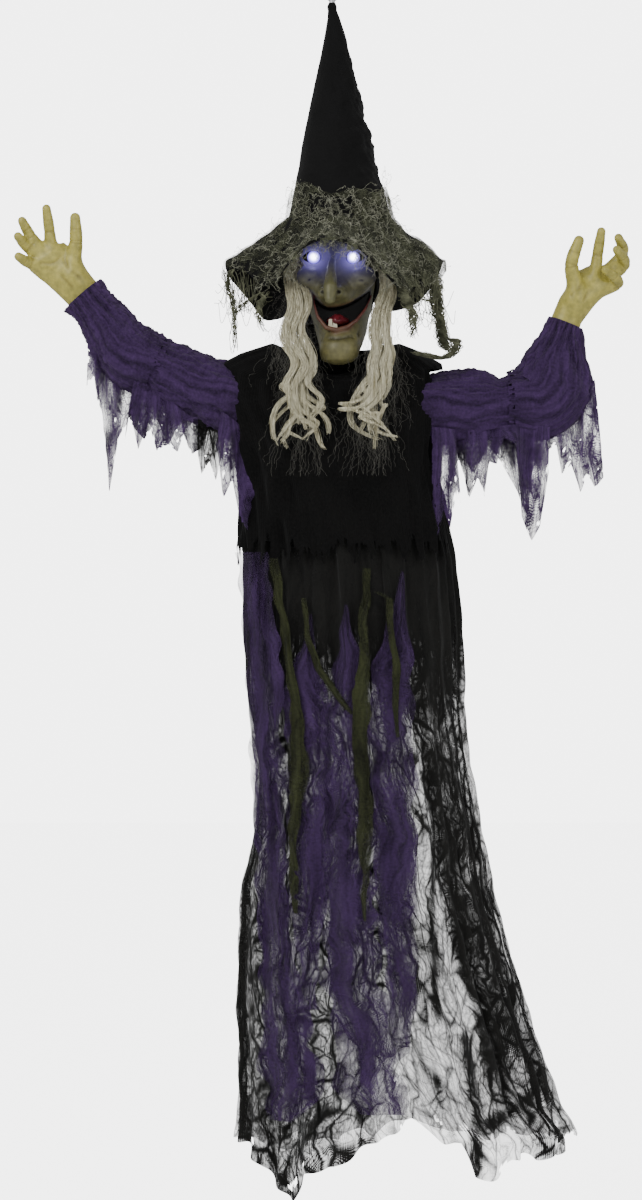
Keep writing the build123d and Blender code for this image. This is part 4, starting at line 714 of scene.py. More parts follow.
# ------------------------------------------------------------------ Hat
# A tall soft cone of black satin cloth with a slight lean and a knotted tip, over a wide wired brim.
# The cone creases where it leans, and the stitched brim droops in four waves round the face.


def satin(name, dark, light, wale=0.0016):
    """Black woven satin: fine weave, soft sheen and dusty patches."""
    material, tree, shader = shader_tree(name)
    cut = add_node(tree, "ShaderNodeUVMap", uv_map="cut").outputs[0]
    dust = add_node(tree, "ShaderNodeTexNoise", [("Vector", cut)], Scale=30.0, Detail=5.0).outputs[0]
    grain = add_node(tree, "ShaderNodeTexNoise", [("Vector", cut)], Scale=600.0, Detail=2.0).outputs[0]
    runs = add_node(tree, "ShaderNodeSeparateXYZ", [("Vector", cut)])
    waves = [math_node(tree, "SINE", times(tree, runs.outputs[i], 2 * math.pi / wale)) for i in (0, 1)]
    weave = times(tree, *waves)
    shade = plus(tree, times(tree, dust, 0.6), times(tree, grain, 0.4))
    tree.links.new(ramp_node(tree, shade, [(0.35, dark), (0.7, light)]), shader.inputs["Base Color"])
    bump = add_node(tree, "ShaderNodeBump", [("Height", plus(tree, weave, grain))], Strength=0.35,
                    Distance=0.0006)
    tree.links.new(bump.outputs[0], shader.inputs["Normal"])
    shader.inputs["Roughness"].default_value = 0.7
    shader.inputs["Specular IOR Level"].default_value = 0.16
    shader.inputs["Sheen Weight"].default_value = 0.01
    return material


hat_satin = satin("hat_satin", (0.0006, 0.0006, 0.0006), (0.0026, 0.0026, 0.0027))
# Height, then the left and right outline of the cone.
HAT_SIDES = (
    (-0.0115, -0.0046, 0.0050), (-0.014, -0.0062, 0.0062), (-0.018, -0.0078, 0.0075),
    (-0.023, -0.0064, 0.0072), (-0.035, -0.0070, 0.0120), (-0.060, -0.0110, 0.0200),
    (-0.096, -0.0180, 0.0290), (-0.139, -0.0275, 0.0400), (-0.185, -0.0370, 0.0490),
    (-0.205, -0.0412, 0.0555), (-0.212, -0.0425, 0.0600), (-0.235, -0.0470, 0.0625),
    (-0.262, -0.0510, 0.0690), (-0.282, -0.0552, 0.0742), (-0.300, -0.0580, 0.0805),
    (-0.331, -0.0640, 0.0880), (-0.352, -0.0690, 0.0920))
hat_rows, hat_columns = 170, 128
around = np.linspace(0, 2 * np.pi, hat_columns, endpoint=False)
z, turn = np.meshgrid(-np.linspace(0.0115, 0.352, hat_rows), around, indexing="ij")
left, right = (np.interp(-z, [-row[0] for row in HAT_SIDES], [row[i] for row in HAT_SIDES]) for i in (1, 2))
radius, middle = (right - left) / 2, (right + left) / 2
round_hat = np.stack([np.cos(turn) * 0.06, np.sin(turn) * 0.06, z], -1)
crease = ripple(round_hat * (1, 1, 2.2), 0.055, 31) + 0.6 * ripple(round_hat * (1.5, 1.5, 3.0), 0.03, 32)
depth = 0.0020 * step(0.03, 0.16, -z) * crease * (0.6 + 0.5 * np.cos(turn))
x = middle + (radius + depth) * np.cos(turn)
y = -(radius + depth) * np.sin(turn)
crown_grid = np.stack([x, y, z], -1)
crown = cloth_piece("hat_cone", crown_grid, hat_satin, np.ones(z.shape), np.zeros(z.shape, bool),
                    closed=True)
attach(crown, "head")
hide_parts("hat_crown")


def brim_points(turn, share, lift=0.0):
    """Points of the brim's upper face: share runs from the crown (0) to the edge (1), and past it."""
    edge_r = 0.155 + 0.012 * np.cos(4 * turn) + 0.004 * np.sin(3 * turn + 1) + 0.004 * np.sin(turn)
    edge_drop = 0.095 - 0.030 * np.cos(4 * turn) - 0.022 * np.cos(turn) + 0.006 * np.sin(2 * turn) + (
        0.004 * np.sin(7 * turn + 0.6))
    inside = np.minimum(share, 1)
    r = 0.080 + (edge_r - 0.080) * inside + 0.004 * np.maximum(share - 1, 0)
    drop = edge_drop * inside**0.85 + 0.14 * np.maximum(share - 1, 0)
    wave = 0.0022 * ripple(np.stack([np.cos(turn) * share, np.sin(turn) * share], -1), 0.35, 33)
    cx = 0.011 * (1 - inside) + 0.002 * inside
    height = -0.345 - drop + lift + wave
    return np.stack([cx + (r + lift) * np.sin(turn), -(r + lift) * np.cos(turn), height], -1)


share, turn = np.meshgrid(np.linspace(0, 1, 44), np.linspace(0, 2 * np.pi, 288, endpoint=False),
                          indexing="ij")
brim_grid = brim_points(turn, share)
brim = cloth_piece("hat_brim_cloth", brim_grid, hat_satin, np.ones(share.shape), np.zeros(share.shape, bool),
                   closed=True)
thick = brim.modifiers.new("two layers", "SOLIDIFY")
thick.thickness = 0.0022
thick.offset = -1
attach(brim, "head")
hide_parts("hat_brim")

# ------------------------------------------------------------------ Gauze on the hat
# Grey-green creepy cloth wraps the foot of the cone, lies over the brim and hangs off its edge in webs.
# It is a coarse open weave, pulled out of square, with stray pale threads over the brow.
creepy_cloth = gauze("creepy_cloth", (0.016, 0.017, 0.010), (0.125, 0.132, 0.080), 0.06, 0.85, 0.62,
                     cell=(120, 95), thread=0.0034, sheen=0.05)


def hat_cover_grid(lift, reach, seed):
    """Cloth over the foot of the cone and the brim, reaching a given share past its edge at each angle."""
    rows, columns = 120, 420
    t, turn = np.meshgrid(np.linspace(0, 1, rows), np.linspace(0, 2 * np.pi, columns, endpoint=False),
                          indexing="ij")
    ring = np.stack([np.cos(turn), np.sin(turn)], -1)
    top_z = -0.300 - 0.010 * ripple(ring, 0.9, seed) - 0.012 * np.cos(turn)
    cone_z = top_z + (-0.348 - top_z) * np.minimum(t / 0.30, 1)
    left, right = (np.interp(-cone_z, [-row[0] for row in HAT_SIDES], [row[i] for row in HAT_SIDES])
                   for i in (1, 2))
    cone_r, cone_x = (right - left) / 2 + 0.0035, (right + left) / 2
    cone = np.stack([cone_x + cone_r * np.sin(turn), -cone_r * np.cos(turn), cone_z], -1)
    end = reach(turn) + 0.05 * ripple(ring, 0.25, seed + 1)
    over = brim_points(turn, np.maximum((t - 0.30) / 0.70, 0) * end, lift)
    mix = step(0.22, 0.42, t)[..., None]
    points = cone * (1 - mix) + over * mix
    bumps = ripple(np.concatenate([ring * 0.15, t[..., None] * 0.2], -1), 0.035, seed + 2)
    outward = np.stack([np.sin(turn), -np.cos(turn), np.full(turn.shape, 0.8)], -1)
    return points + outward * (0.0016 * (1 + bumps))[..., None], t, turn


def cover_reach(turn):
    """How far over the brim the cloth lies: past the edge at the sides, short of it behind."""
    front = np.cos(turn)
    return 1.0 + 0.10 * np.abs(np.sin(turn)) - 0.25 * step(0.2, 1.0, -front) + 0.04 * np.cos(4 * turn)


cover_grid, t, turn = hat_cover_grid(0.0018, cover_reach, 41)
right_side = 0.5 + 0.5 * np.sin(turn)
tear = ripple(cover_grid, 0.020, 43) + 0.5 * ripple(cover_grid, 0.008, 44)
bald = (np.cos(turn + 0.20) > 0.90) & (t > 0.05) & (t < 0.30)
torn = tear > 0.95 + 0.9 * right_side - 1.1 * step(0.86, 1.0, t)
torn = torn | (bald & (ripple(cover_grid, 0.03, 45) > -0.5))
brow = np.exp(-(((turn + np.pi) % (2 * np.pi) - np.pi) / 0.5) ** 2) * step(0.45, 0.8, t)
dense = np.clip(-0.05 + 0.55 * right_side + 0.35 * brow + 0.30 * ripple(cover_grid, 0.03, 46), 0, 1)
cover = cloth_piece("hat_creepy_cloth", cover_grid, creepy_cloth, dense, torn,
                    closed=True)
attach(cover, "head")
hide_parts("hat_cloth")


def strand_tree():
    """Geometry Nodes group that turns curves into thin tubes, tapered by each point's own radius."""
    group = bpy.data.node_groups.new("strands", "GeometryNodeTree")
    group.interface.new_socket("Geometry", in_out="INPUT", socket_type="NodeSocketGeometry")
    for name, kind in (("Radius", "NodeSocketFloat"), ("Sides", "NodeSocketInt"),
                       ("Material", "NodeSocketMaterial")):
        group.interface.new_socket(name, in_out="INPUT", socket_type=kind)
    group.interface.new_socket("Geometry", in_out="OUTPUT", socket_type="NodeSocketGeometry")
    start, end = group.nodes.new("NodeGroupInput"), group.nodes.new("NodeGroupOutput")
    profile = group.nodes.new("GeometryNodeCurvePrimitiveCircle")
    tube = group.nodes.new("GeometryNodeCurveToMesh")
    real = group.nodes.new("GeometryNodeRealizeInstances")
    paint = group.nodes.new("GeometryNodeSetMaterial")
    tube.inputs["Fill Caps"].default_value = True
    for source, target in (
            (start.outputs["Sides"], profile.inputs["Resolution"]),
            (start.outputs["Radius"], profile.inputs["Radius"]),
            (start.outputs["Geometry"], tube.inputs["Curve"]),
            (profile.outputs["Curve"], tube.inputs["Profile Curve"]),
            (tube.outputs["Mesh"], real.inputs[0]), (real.outputs[0], paint.inputs["Geometry"]),
            (start.outputs["Material"], paint.inputs["Material"]), (paint.outputs[0], end.inputs[0])):
        group.links.new(source, target)
    return group


STRANDS = strand_tree()


def strand_piece(name, paths, radius, material, sides=3, taper=0.35):
    """Many thin strands as one mesh, each following a path of points and thinning to its end."""
    curve = bpy.data.curves.new(name, "CURVE")
    curve.dimensions = "3D"
    for path in paths:
        spline = curve.splines.new("POLY")
        spline.points.add(len(path) - 1)
        weighted = np.concatenate([path, np.ones((len(path), 1))], 1)
        thinned = 1 - (1 - taper) * np.linspace(0, 1, len(path)) ** 2
        spline.points.foreach_set("co", weighted.astype(np.float32).ravel())
        spline.points.foreach_set("radius", thinned.astype(np.float32))
    holder = bpy.data.objects.new(name + "_curves", curve)
    bpy.context.scene.collection.objects.link(holder)
    modifier = holder.modifiers.new("strands", "NODES")
    modifier.node_group = STRANDS
    values = {"Radius": radius, "Sides": sides, "Material": material}
    for socket in STRANDS.interface.items_tree:
        if socket.in_out == "INPUT" and socket.name in values:
            modifier[socket.identifier] = values[socket.name]
    bpy.context.view_layer.update()
    mesh = bpy.data.meshes.new_from_object(holder.evaluated_get(bpy.context.evaluated_depsgraph_get()))
    bpy.data.objects.remove(holder)
    mesh.name = name
    if not mesh.materials:
        mesh.materials.append(material)
    piece = bpy.data.objects.new(name, mesh)
    bpy.context.scene.collection.objects.link(piece)
    return piece


def smooth_path(points, count):
    """A smooth path through a few points (Catmull-Rom), as count points."""
    points = np.asarray(points, float)
    ends = np.concatenate([[2 * points[0] - points[1]], points, [2 * points[-1] - points[-2]]])
    t = np.linspace(0, len(points) - 1 - 1e-9, count)
    i = t.astype(int)
    f = (t - i)[:, None]
    a, b, c, d = (ends[i + k] for k in range(4))
    return 0.5 * (2 * b + (c - a) * f + (2 * a - 5 * b + 4 * c - d) * f**2 + (3 * b - a - 3 * c + d) * f**3)


def thread_paint(name, dark, light, scale=90.0, roughness=0.8):
    """Dull fibre whose colour varies from strand to strand."""
    material, tree, shader = shader_tree(name)
    place = add_node(tree, "ShaderNodeTexCoord").outputs["Object"]
    tone = add_node(tree, "ShaderNodeTexNoise", [("Vector", place)], Scale=scale, Detail=3.0).outputs[0]
    tree.links.new(ramp_node(tree, tone, [(0.35, dark), (0.65, light)]), shader.inputs["Base Color"])
    shader.inputs["Roughness"].default_value = roughness
    shader.inputs["Specular IOR Level"].default_value = 0.3
    return material


# The webs at the two corners of the brim: each strand is a twisted bundle of threads.
WEBS = (
    (((-0.150, -0.060, -0.422), (-0.158, -0.060, -0.448), (-0.150, -0.062, -0.480), (-0.148, -0.062, -0.515),
      (-0.1475, -0.062, -0.558)), 12, 0.0034),
    (((-0.166, -0.030, -0.416), (-0.163, -0.040, -0.440), (-0.152, -0.055, -0.470), (-0.148, -0.062, -0.500)),
     5, 0.002),
    (((-0.105, -0.100, -0.462), (-0.128, -0.085, -0.476), (-0.140, -0.070, -0.486), (-0.149, -0.062, -0.500)),
     5, 0.002),
    (((-0.098, -0.102, -0.462), (-0.108, -0.106, -0.480), (-0.113, -0.108, -0.498), (-0.104, -0.106, -0.526)),
     14, 0.0044),
    (((0.152, -0.036, -0.424), (0.158, -0.038, -0.450), (0.160, -0.042, -0.480), (0.167, -0.046, -0.515),
      (0.171, -0.050, -0.538), (0.182, -0.052, -0.552)), 64, 0.0100),
    (((0.171, -0.048, -0.530), (0.188, -0.052, -0.533), (0.186, -0.058, -0.549), (0.168, -0.066, -0.560),
      (0.146, -0.074, -0.556), (0.124, -0.082, -0.552)), 34, 0.0075),
    (((0.100, -0.104, -0.452), (0.112, -0.106, -0.474), (0.122, -0.106, -0.500), (0.121, -0.104, -0.534)), 34,
     0.0066),
    (((0.128, -0.090, -0.446), (0.136, -0.084, -0.470), (0.150, -0.066, -0.474), (0.157, -0.050, -0.462)), 5,
     0.0022))
rng = np.random.default_rng(51)
web_paths = []
for line, threads, width in WEBS:
    spine = smooth_path(line, 60)
    run = np.linspace(0, 1, 60)
    for _ in range(threads * 2):
        phase, speed = rng.uniform(0, 2 * np.pi), rng.uniform(2.5, 5.5)
        reach = width * rng.uniform(0.35, 1.15) * (1 - 0.45 * run)
        reach = reach * (1 + 0.35 * np.sin(run * 21 + phase * 3))
        angle = phase + speed * run * 2 * np.pi
        slack = rng.normal(0, 0.0008, 60).cumsum() * 0.3
        offset = np.stack([np.cos(angle) * reach, np.sin(angle) * reach, slack], 1)
        offset[:, 0] += rng.normal(0, 0.0009, 60).cumsum() * 0.5
        first, last = int(rng.uniform(0, 12)), int(rng.uniform(44, 60))
        web_paths.append((spine + offset)[first:last])
for _ in range(70):
    side = rng.choice([-1, 1])
    top = np.array([side * rng.uniform(0.118, 0.162), rng.uniform(-0.09, -0.03), rng.uniform(-0.455, -0.425)])
    sag = rng.uniform(0.010, 0.045)
    end = top + (rng.uniform(-0.03, 0.03), rng.uniform(-0.01, 0.01), rng.uniform(-0.05, -0.01))
    middle = (top + end) / 2 + (rng.uniform(-0.01, 0.01), 0, -sag)
    web_paths.append(smooth_path((top, middle, end), 26))
creepy_thread = thread_paint("creepy_thread", (0.045, 0.048, 0.026), (0.200, 0.205, 0.130), 60.0)
webs = strand_piece("hat_webs", web_paths, 0.00046, creepy_thread)
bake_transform(webs)
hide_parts("hat_strands")

# Stray threads that stand off the cloth over the cone, the brim and the brow.
rng = np.random.default_rng(52)
cover_flat = cover_grid.reshape(-1, 3)
front_cover = cover_flat[cover_flat[:, 1] < -0.03]
loose = []
for _ in range(520):
    start = front_cover[rng.integers(len(front_cover))]
    heading = rng.normal(size=3) * (1, 0.35, 0.7)
    heading /= np.linalg.norm(heading)
    length = rng.uniform(0.008, 0.028)
    outward = np.array([start[0], start[1], 0.05])
    outward /= np.linalg.norm(outward)
    steps = np.linspace(0, 1, 12)[:, None]
    wander = rng.normal(0, 0.0022, (12, 3)).cumsum(0) * (1, 0.5, 1)
    droop = np.array([0, 0, -1]) * steps**2 * rng.uniform(0, 0.012)
    loose.append(start + heading * length * steps + wander + droop
                 + outward * (0.0012 + 0.003 * np.sin(steps * np.pi)))
for _ in range(160):
    angle = rng.normal(0, 0.42)
    top = brim_points(np.array(angle), np.array(rng.uniform(0.75, 1.0)), 0.003)
    steps = np.linspace(0, 1, 16)[:, None]
    fall = np.array([rng.uniform(-0.006, 0.006), 0.004, -rng.uniform(0.006, 0.030)])
    wander = rng.normal(0, 0.0016, (16, 3)).cumsum(0) * (1.3, 0.3, 0.8)
    loose.append(top + fall * steps + wander)
pale_thread = thread_paint("pale_thread", (0.140, 0.145, 0.095), (0.420, 0.420, 0.330), 70.0)
fuzz = strand_piece("hat_stray_threads", loose, 0.00032, pale_thread)
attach(fuzz, "head")

# ------------------------------------------------------------------ Face
# One hollow latex mask from brow to chin, moulded with eye sockets, bags, a long drooping nose and a
# grinning mouth. It is glued to the skull at the brow and to the jaw at the chin; here it is one still piece.
MASK_STEP = 0.0017
MASK_TOP = -0.328
CHIN_FOOT = -0.5715
EYES = (-0.028, 0.032)
EYE_HEIGHT = -0.408
NOSTRILS = (0.0095, -0.0145)
NOSTRIL_HEIGHT = -0.4635
# Height, then the middle, half width and half depth of the head.
HEAD_SECTIONS = (
    (-0.320, 0.002, 0.000, 0.034, 0.041), (-0.345, 0.002, 0.000, 0.055, 0.068),
    (-0.374, 0.003, 0.000, 0.0625, 0.080), (-0.400, 0.004, 0.002, 0.0620, 0.079),
    (-0.425, 0.005, 0.000, 0.0615, 0.080), (-0.445, 0.006, 0.000, 0.0600, 0.079),
    (-0.462, 0.008, -0.004, 0.0550, 0.076), (-0.480, 0.012, -0.012, 0.0485, 0.070),
    (-0.500, 0.013, -0.022, 0.0430, 0.063), (-0.520, 0.014, -0.034, 0.0385, 0.059),
    (-0.540, 0.013, -0.052, 0.0330, 0.049), (-0.556, 0.011, -0.066, 0.0280, 0.036),
    (-0.565, 0.009, -0.072, 0.0240, 0.028), (-0.570, 0.009, -0.075, 0.0150, 0.017),
    (-0.573, 0.009, -0.076, 0.0040, 0.005))


def smooth_union(a, b, k):
    """Smooth minimum of two distance fields."""
    h = np.clip(0.5 + 0.5 * (b - a) / k, 0, 1)
    return b + (a - b) * h - k * h * (1 - h)


def smooth_cut(a, b, k):
    """Take b out of a, with a rounded rim."""
    return -smooth_union(-a, b, k)


def ball(space, centre, radii):
    """Approximate distance to an ellipsoid."""
    offset = [(space[i] - centre[i]) / radii[i] for i in range(3)]
    return (np.sqrt(sum(o * o for o in offset)) - 1) * min(radii)


def limb(space, points, radii):
    """Distance to a chain of tapered capsules."""
    best = None
    for (a, b, ra, rb) in zip(points, points[1:], radii, radii[1:]):
        a, b = np.asarray(a, float), np.asarray(b, float)
        along = b - a
        t = sum((space[i] - a[i]) * along[i] for i in range(3)) / (along @ along)
        t = np.clip(t, 0, 1)
        distance = np.sqrt(sum((space[i] - a[i] - t * along[i]) ** 2 for i in range(3)))
        distance = distance - (ra + (rb - ra) * t)
        best = distance if best is None else np.minimum(best, distance)
    return best


def surface(field, low, pitch):
    """Naive surface nets: a quad mesh of the zero level of a field sampled on a grid."""
    inside = field < 0
    corner = np.stack([inside[i:i - 1 or None, j:j - 1 or None, k:k - 1 or None]
                       for i in (0, 1) for j in (0, 1) for k in (0, 1)])
    crossing = corner.any(0) & ~corner.all(0)
    cells = np.argwhere(crossing)
    index = np.full(crossing.shape, -1)
    index[tuple(cells.T)] = np.arange(len(cells))
    total, count = np.zeros((len(cells), 3)), np.zeros(len(cells))
    edges = [((i, j, k), axis) for axis in range(3) for i in (0, 1) for j in (0, 1) for k in (0, 1)
             if (i, j, k)[axis] == 0]
    for start, axis in edges:
        end = list(start)
        end[axis] = 1
        a = field[tuple((cells + start).T)]
        b = field[tuple((cells + end).T)]
        hit = (a < 0) != (b < 0)
        t = np.where(hit, a / np.where(hit, a - b, 1), 0)
        place = np.array(start, float) + t[:, None] * (np.array(end) - np.array(start))
        total += place * hit[:, None]
        count += hit
    points = low + (cells + total / count[:, None]) * pitch
    faces = []
    for axis in range(3):
        one, two = [a for a in range(3) if a != axis]
        a = np.moveaxis(inside, axis, 0)
        change = a[:-1] != a[1:]
        falls = a[:-1] & ~a[1:]
        change = np.moveaxis(change, 0, axis)
        falls = np.moveaxis(falls, 0, axis)
        where = np.argwhere(change)
        where = where[(where[:, one] > 0) & (where[:, two] > 0)]
        where = where[(where[:, one] < index.shape[one]) & (where[:, two] < index.shape[two])]
        down = falls[tuple(where.T)]
        quad = []
        for d1, d2 in ((1, 1), (0, 1), (0, 0), (1, 0)):
            cell = where.copy()
            cell[:, one] -= d1
            cell[:, two] -= d2
            quad.append(index[tuple(cell.T)])
        quad = np.stack(quad, 1)
        flip = down if axis == 1 else ~down
        quad[flip] = quad[flip][:, ::-1]
        faces.append(quad)
    return points, np.concatenate(faces)


def relax(points, faces, rounds, weight=0.5):
    """Laplacian smoothing of a quad mesh."""
    a = faces.ravel()
    b = np.roll(faces, -1, 1).ravel()
    count = np.bincount(a, minlength=len(points)) + np.bincount(b, minlength=len(points))
    for _ in range(rounds):
        total = np.zeros_like(points)
        for i in range(3):
            total[:, i] = np.bincount(a, points[b, i], len(points))
            total[:, i] += np.bincount(b, points[a, i], len(points))
        points = points * (1 - weight) + total / count[:, None] * weight
    return points


def grid_space(low, high, pitch):
    """Sample positions of a box, as x, y and z arrays."""
    axes = [np.arange(low[i], high[i] + pitch, pitch) for i in range(3)]
    return np.meshgrid(*axes, indexing="ij")


mask_low, mask_high = (-0.078, -0.152, -0.584), (0.090, 0.010, -0.318)
space = grid_space(mask_low, mask_high, MASK_STEP)
X, Y, Z = space
middle, centre_y, half_x, half_y = between([(-row[0], *row[1:]) for row in HEAD_SECTIONS], -Z)
head = np.sqrt(((X - middle) / half_x) ** 2 + ((Y - centre_y) / half_y) ** 2) - 1
head = head * np.minimum(half_x, half_y)
# Brow, cheekbones, bags, muzzle and chin.
head = smooth_union(head,
                    limb(space, ((-0.046, -0.066, -0.388), (-0.020, -0.080, -0.391), (0.004, -0.080, -0.396),
                                       (0.026, -0.080, -0.390), (0.052, -0.064, -0.386)), (0.008,) * 5),
                    0.012)
head = smooth_union(head, ball(space, (-0.033, -0.070, -0.438), (0.021, 0.025, 0.019)), 0.012)
head = smooth_union(head, ball(space, (0.043, -0.066, -0.438), (0.024, 0.027, 0.019)), 0.012)
head = smooth_union(head, ball(space, (0.002, -0.082, -0.462), (0.027, 0.031, 0.017)), 0.012)
head = smooth_union(head, ball(space, (0.010, -0.086, -0.548), (0.024, 0.020, 0.017)), 0.016)
# Nose: a thin bridge that swells into a long drooping tip with two wings.
nose = limb(space, ((0.001, -0.078, -0.398), (-0.001, -0.098, -0.420), (-0.002, -0.116, -0.440),
                    (-0.003, -0.132, -0.458), (-0.0035, -0.139, -0.476)),
            (0.0052, 0.0064, 0.0086, 0.0106, 0.0080))
nose = smooth_union(nose, ball(space, (0.0095, -0.112, -0.463), (0.0072, 0.012, 0.0085)), 0.005)
nose = smooth_union(nose, ball(space, (-0.0140, -0.111, -0.465), (0.0068, 0.012, 0.0080)), 0.005)
head = smooth_union(head, nose, 0.009)
# Eye sockets, then the rims round the eyes.
for eye_x, eye_z in ((-0.028, -0.408), (0.032, -0.408)):
    head = smooth_cut(head, ball(space, (eye_x, -0.093, eye_z), (0.0235, 0.024, 0.0165)), 0.005)
    for rise, reach, r in ((0.013, -0.076, 0.0032), (-0.013, -0.074, 0.0036)):
        arc = [(eye_x - 0.020, reach + 0.012, eye_z + rise * 0.1),
               (eye_x - 0.011, reach, eye_z + rise * 0.8),
               (eye_x, reach - 0.003, eye_z + rise), (eye_x + 0.011, reach, eye_z + rise * 0.8),
               (eye_x + 0.020, reach + 0.012, eye_z + rise * 0.1)]
        head = smooth_union(head, limb(space, arc, (r * 0.6, r, r, r, r * 0.6)), 0.004)
# Wrinkles: each a soft groove or fold along a line.
FOLDS = (
    (-0.0016, 0.0024, ((-0.046, -0.072, -0.428), (-0.030, -0.088, -0.433), (-0.013, -0.094, -0.426))),
    (0.0030, 0.0026, ((-0.050, -0.066, -0.434), (-0.034, -0.092, -0.444), (-0.014, -0.102, -0.437),
                      (-0.010, -0.100, -0.424))),
    (-0.0014, 0.0022, ((0.016, -0.094, -0.426), (0.034, -0.088, -0.433), (0.054, -0.070, -0.426))),
    (0.0030, 0.0026, ((0.011, -0.100, -0.424), (0.014, -0.104, -0.438), (0.024, -0.100, -0.432),
                      (0.020, -0.098, -0.426))),
    (0.0026, 0.0024, ((0.024, -0.100, -0.440), (0.040, -0.094, -0.446), (0.060, -0.070, -0.438))),
    (0.0036, 0.0034, ((-0.016, -0.104, -0.452), (-0.024, -0.094, -0.462), (-0.030, -0.080, -0.474))),
    (0.0036, 0.0034, ((0.018, -0.106, -0.450), (0.034, -0.096, -0.462), (0.052, -0.078, -0.466))),
    (0.0018, 0.0022, ((-0.034, -0.090, -0.452), (-0.040, -0.080, -0.464), (-0.040, -0.070, -0.476))),
    (0.0018, 0.0022, ((0.050, -0.086, -0.450), (0.060, -0.072, -0.462), (0.062, -0.060, -0.478))),
    (0.0022, 0.0030, ((-0.014, -0.094, -0.530), (0.010, -0.102, -0.534), (0.032, -0.092, -0.529))),
    (0.0016, 0.0022, ((-0.020, -0.072, -0.500), (-0.019, -0.076, -0.520), (-0.012, -0.082, -0.540))),
    (0.0016, 0.0022, ((0.052, -0.066, -0.492), (0.045, -0.074, -0.514), (0.034, -0.082, -0.536))),
    (0.0014, 0.0020, ((-0.006, -0.100, -0.410), (0.000, -0.098, -0.405), (0.008, -0.098, -0.410))))
for amount, width, line in FOLDS:
    depth = limb(space, smooth_path(line, 9), (0,) * 9)
    head += amount * np.exp(-((depth / width) ** 2))
for x0 in NOSTRILS:
    head = smooth_cut(head, ball(space, (x0, -0.122, NOSTRIL_HEIGHT), (0.0034, 0.0050, 0.0026)), 0.002)


def upper_lip(x):
    """Height of the upper lip across the face: lowest under the nose, higher at the corners."""
    return -0.484 + np.where(x < -0.003, 0.030, 0.0078) * ((x + 0.003) * 1000) ** 2 / 1000


# Lips: a roll round the mouth, then the opening and the hollow behind it.
lip_line = [(-0.0285, -0.066, -0.464), (-0.026, -0.079, -0.480), (-0.020, -0.088, -0.500),
            (-0.008, -0.094, -0.515), (0.006, -0.096, -0.5185), (0.022, -0.093, -0.514),
            (0.036, -0.088, -0.504), (0.050, -0.076, -0.486), (0.0595, -0.062, -0.464)]
lip = limb(space, lip_line, (0.002, 0.0032, 0.0042, 0.005, 0.005, 0.0046, 0.004, 0.0032, 0.002))
head = smooth_union(head, lip, 0.004)
mouth_low = np.interp(X, [p[0] for p in lip_line], [p[2] for p in lip_line])
mouth = np.maximum(mouth_low + 0.0022 - Z, Z - upper_lip(X)) * 0.8
mouth = np.maximum(mouth, np.maximum(-0.0265 - X, X - 0.0575))
mouth = np.maximum(mouth, Y + 0.030)
head = smooth_cut(head, mouth, 0.0022)
head = -smooth_union(-head, Z - CHIN_FOOT, 0.010)
skin_wall = 0.0028
shell = np.maximum(head, -(head + skin_wall))
back_edge = -0.0015 - 0.0105 * step(0.488, 0.506, -Z)
shell = np.maximum(shell, Y - back_edge)
shell = np.maximum(shell, Z - MASK_TOP)
# The lens seats behind the sockets, open for the eyes.
for eye_x in EYES:
    seat = np.maximum(np.sqrt((X - eye_x) ** 2 + (Z - EYE_HEIGHT) ** 2) - 0.0106, Y + 0.060)
    shell = np.maximum(shell, -seat)
mask_points, mask_faces = surface(shell, np.array(mask_low), MASK_STEP)
mask_points = relax(mask_points, mask_faces, 3)


def near_line(points, line, width):
    """How near each point is to a line, as a bell from 1 to 0."""
    place = [points[:, i] for i in range(3)]
    return np.exp(-((limb(place, line, (0,) * len(line)) / width) ** 2))


px, py, pz = mask_points.T
olive = np.array((0.105, 0.102, 0.042))
yellow = np.array((0.128, 0.118, 0.046))
grey = np.array((0.060, 0.062, 0.050))
lip_red = np.array((0.100, 0.010, 0.014))
mouth_shade_colour = np.array((0.0022, 0.0008, 0.0008))
toward_chin = step(0.480, 0.545, -pz)[:, None]
# Painted shade: the skin in and round the eye sockets is darkened by up to three quarters.
socket_shade = sum(np.exp(-(((px - eye_x) / 0.024) ** 2) - ((pz + 0.402) / 0.014) ** 2) for eye_x in EYES)
# Painted shade: the upper face, from the brow up, is darkened towards grey, standing in for the shadow of the
# brim and its gauze.
under_brim_shade = (1 - step(0.420, 0.455, -pz))[:, None]
tint = olive * (1 - toward_chin) + yellow * toward_chin
tint = tint * (1 - 0.6 * under_brim_shade) + grey * 0.6 * under_brim_shade
tint = tint * (1 - 0.75 * np.clip(socket_shade, 0, 1)[:, None])
wear = ripple(mask_points, 0.030, 61)[:, None] * 0.10 + ripple(mask_points, 0.008, 62)[:, None] * 0.06
tint = tint * (1 + wear)
# Painted shade: the skin is darkened along each wrinkle groove.
for amount, width, line in FOLDS:
    if amount > 0:
        tint = tint * (1 - 0.55 * near_line(mask_points, line, width * 1.1))[:, None]
# Painted shade: the nostril holes are darkened almost to black.
for x0 in NOSTRILS:
    nostril = ((x0, -0.118, NOSTRIL_HEIGHT), (x0, -0.124, NOSTRIL_HEIGHT))
    tint = tint * (1 - 0.9 * near_line(mask_points, nostril, 0.0030))[:, None]
lips = near_line(mask_points, lip_line, 0.0068)[:, None]
upper_edge = np.exp(-(((pz - upper_lip(px)) / 0.003) ** 2)) * (py > -0.112) * (py < -0.06)
upper_edge = upper_edge * (px > -0.028) * (px < 0.060)
lips = np.maximum(lips * (pz[:, None] < upper_lip(px)[:, None] + 0.006), 0.35 * upper_edge[:, None])
tint = tint * (1 - lips) + lip_red * lips
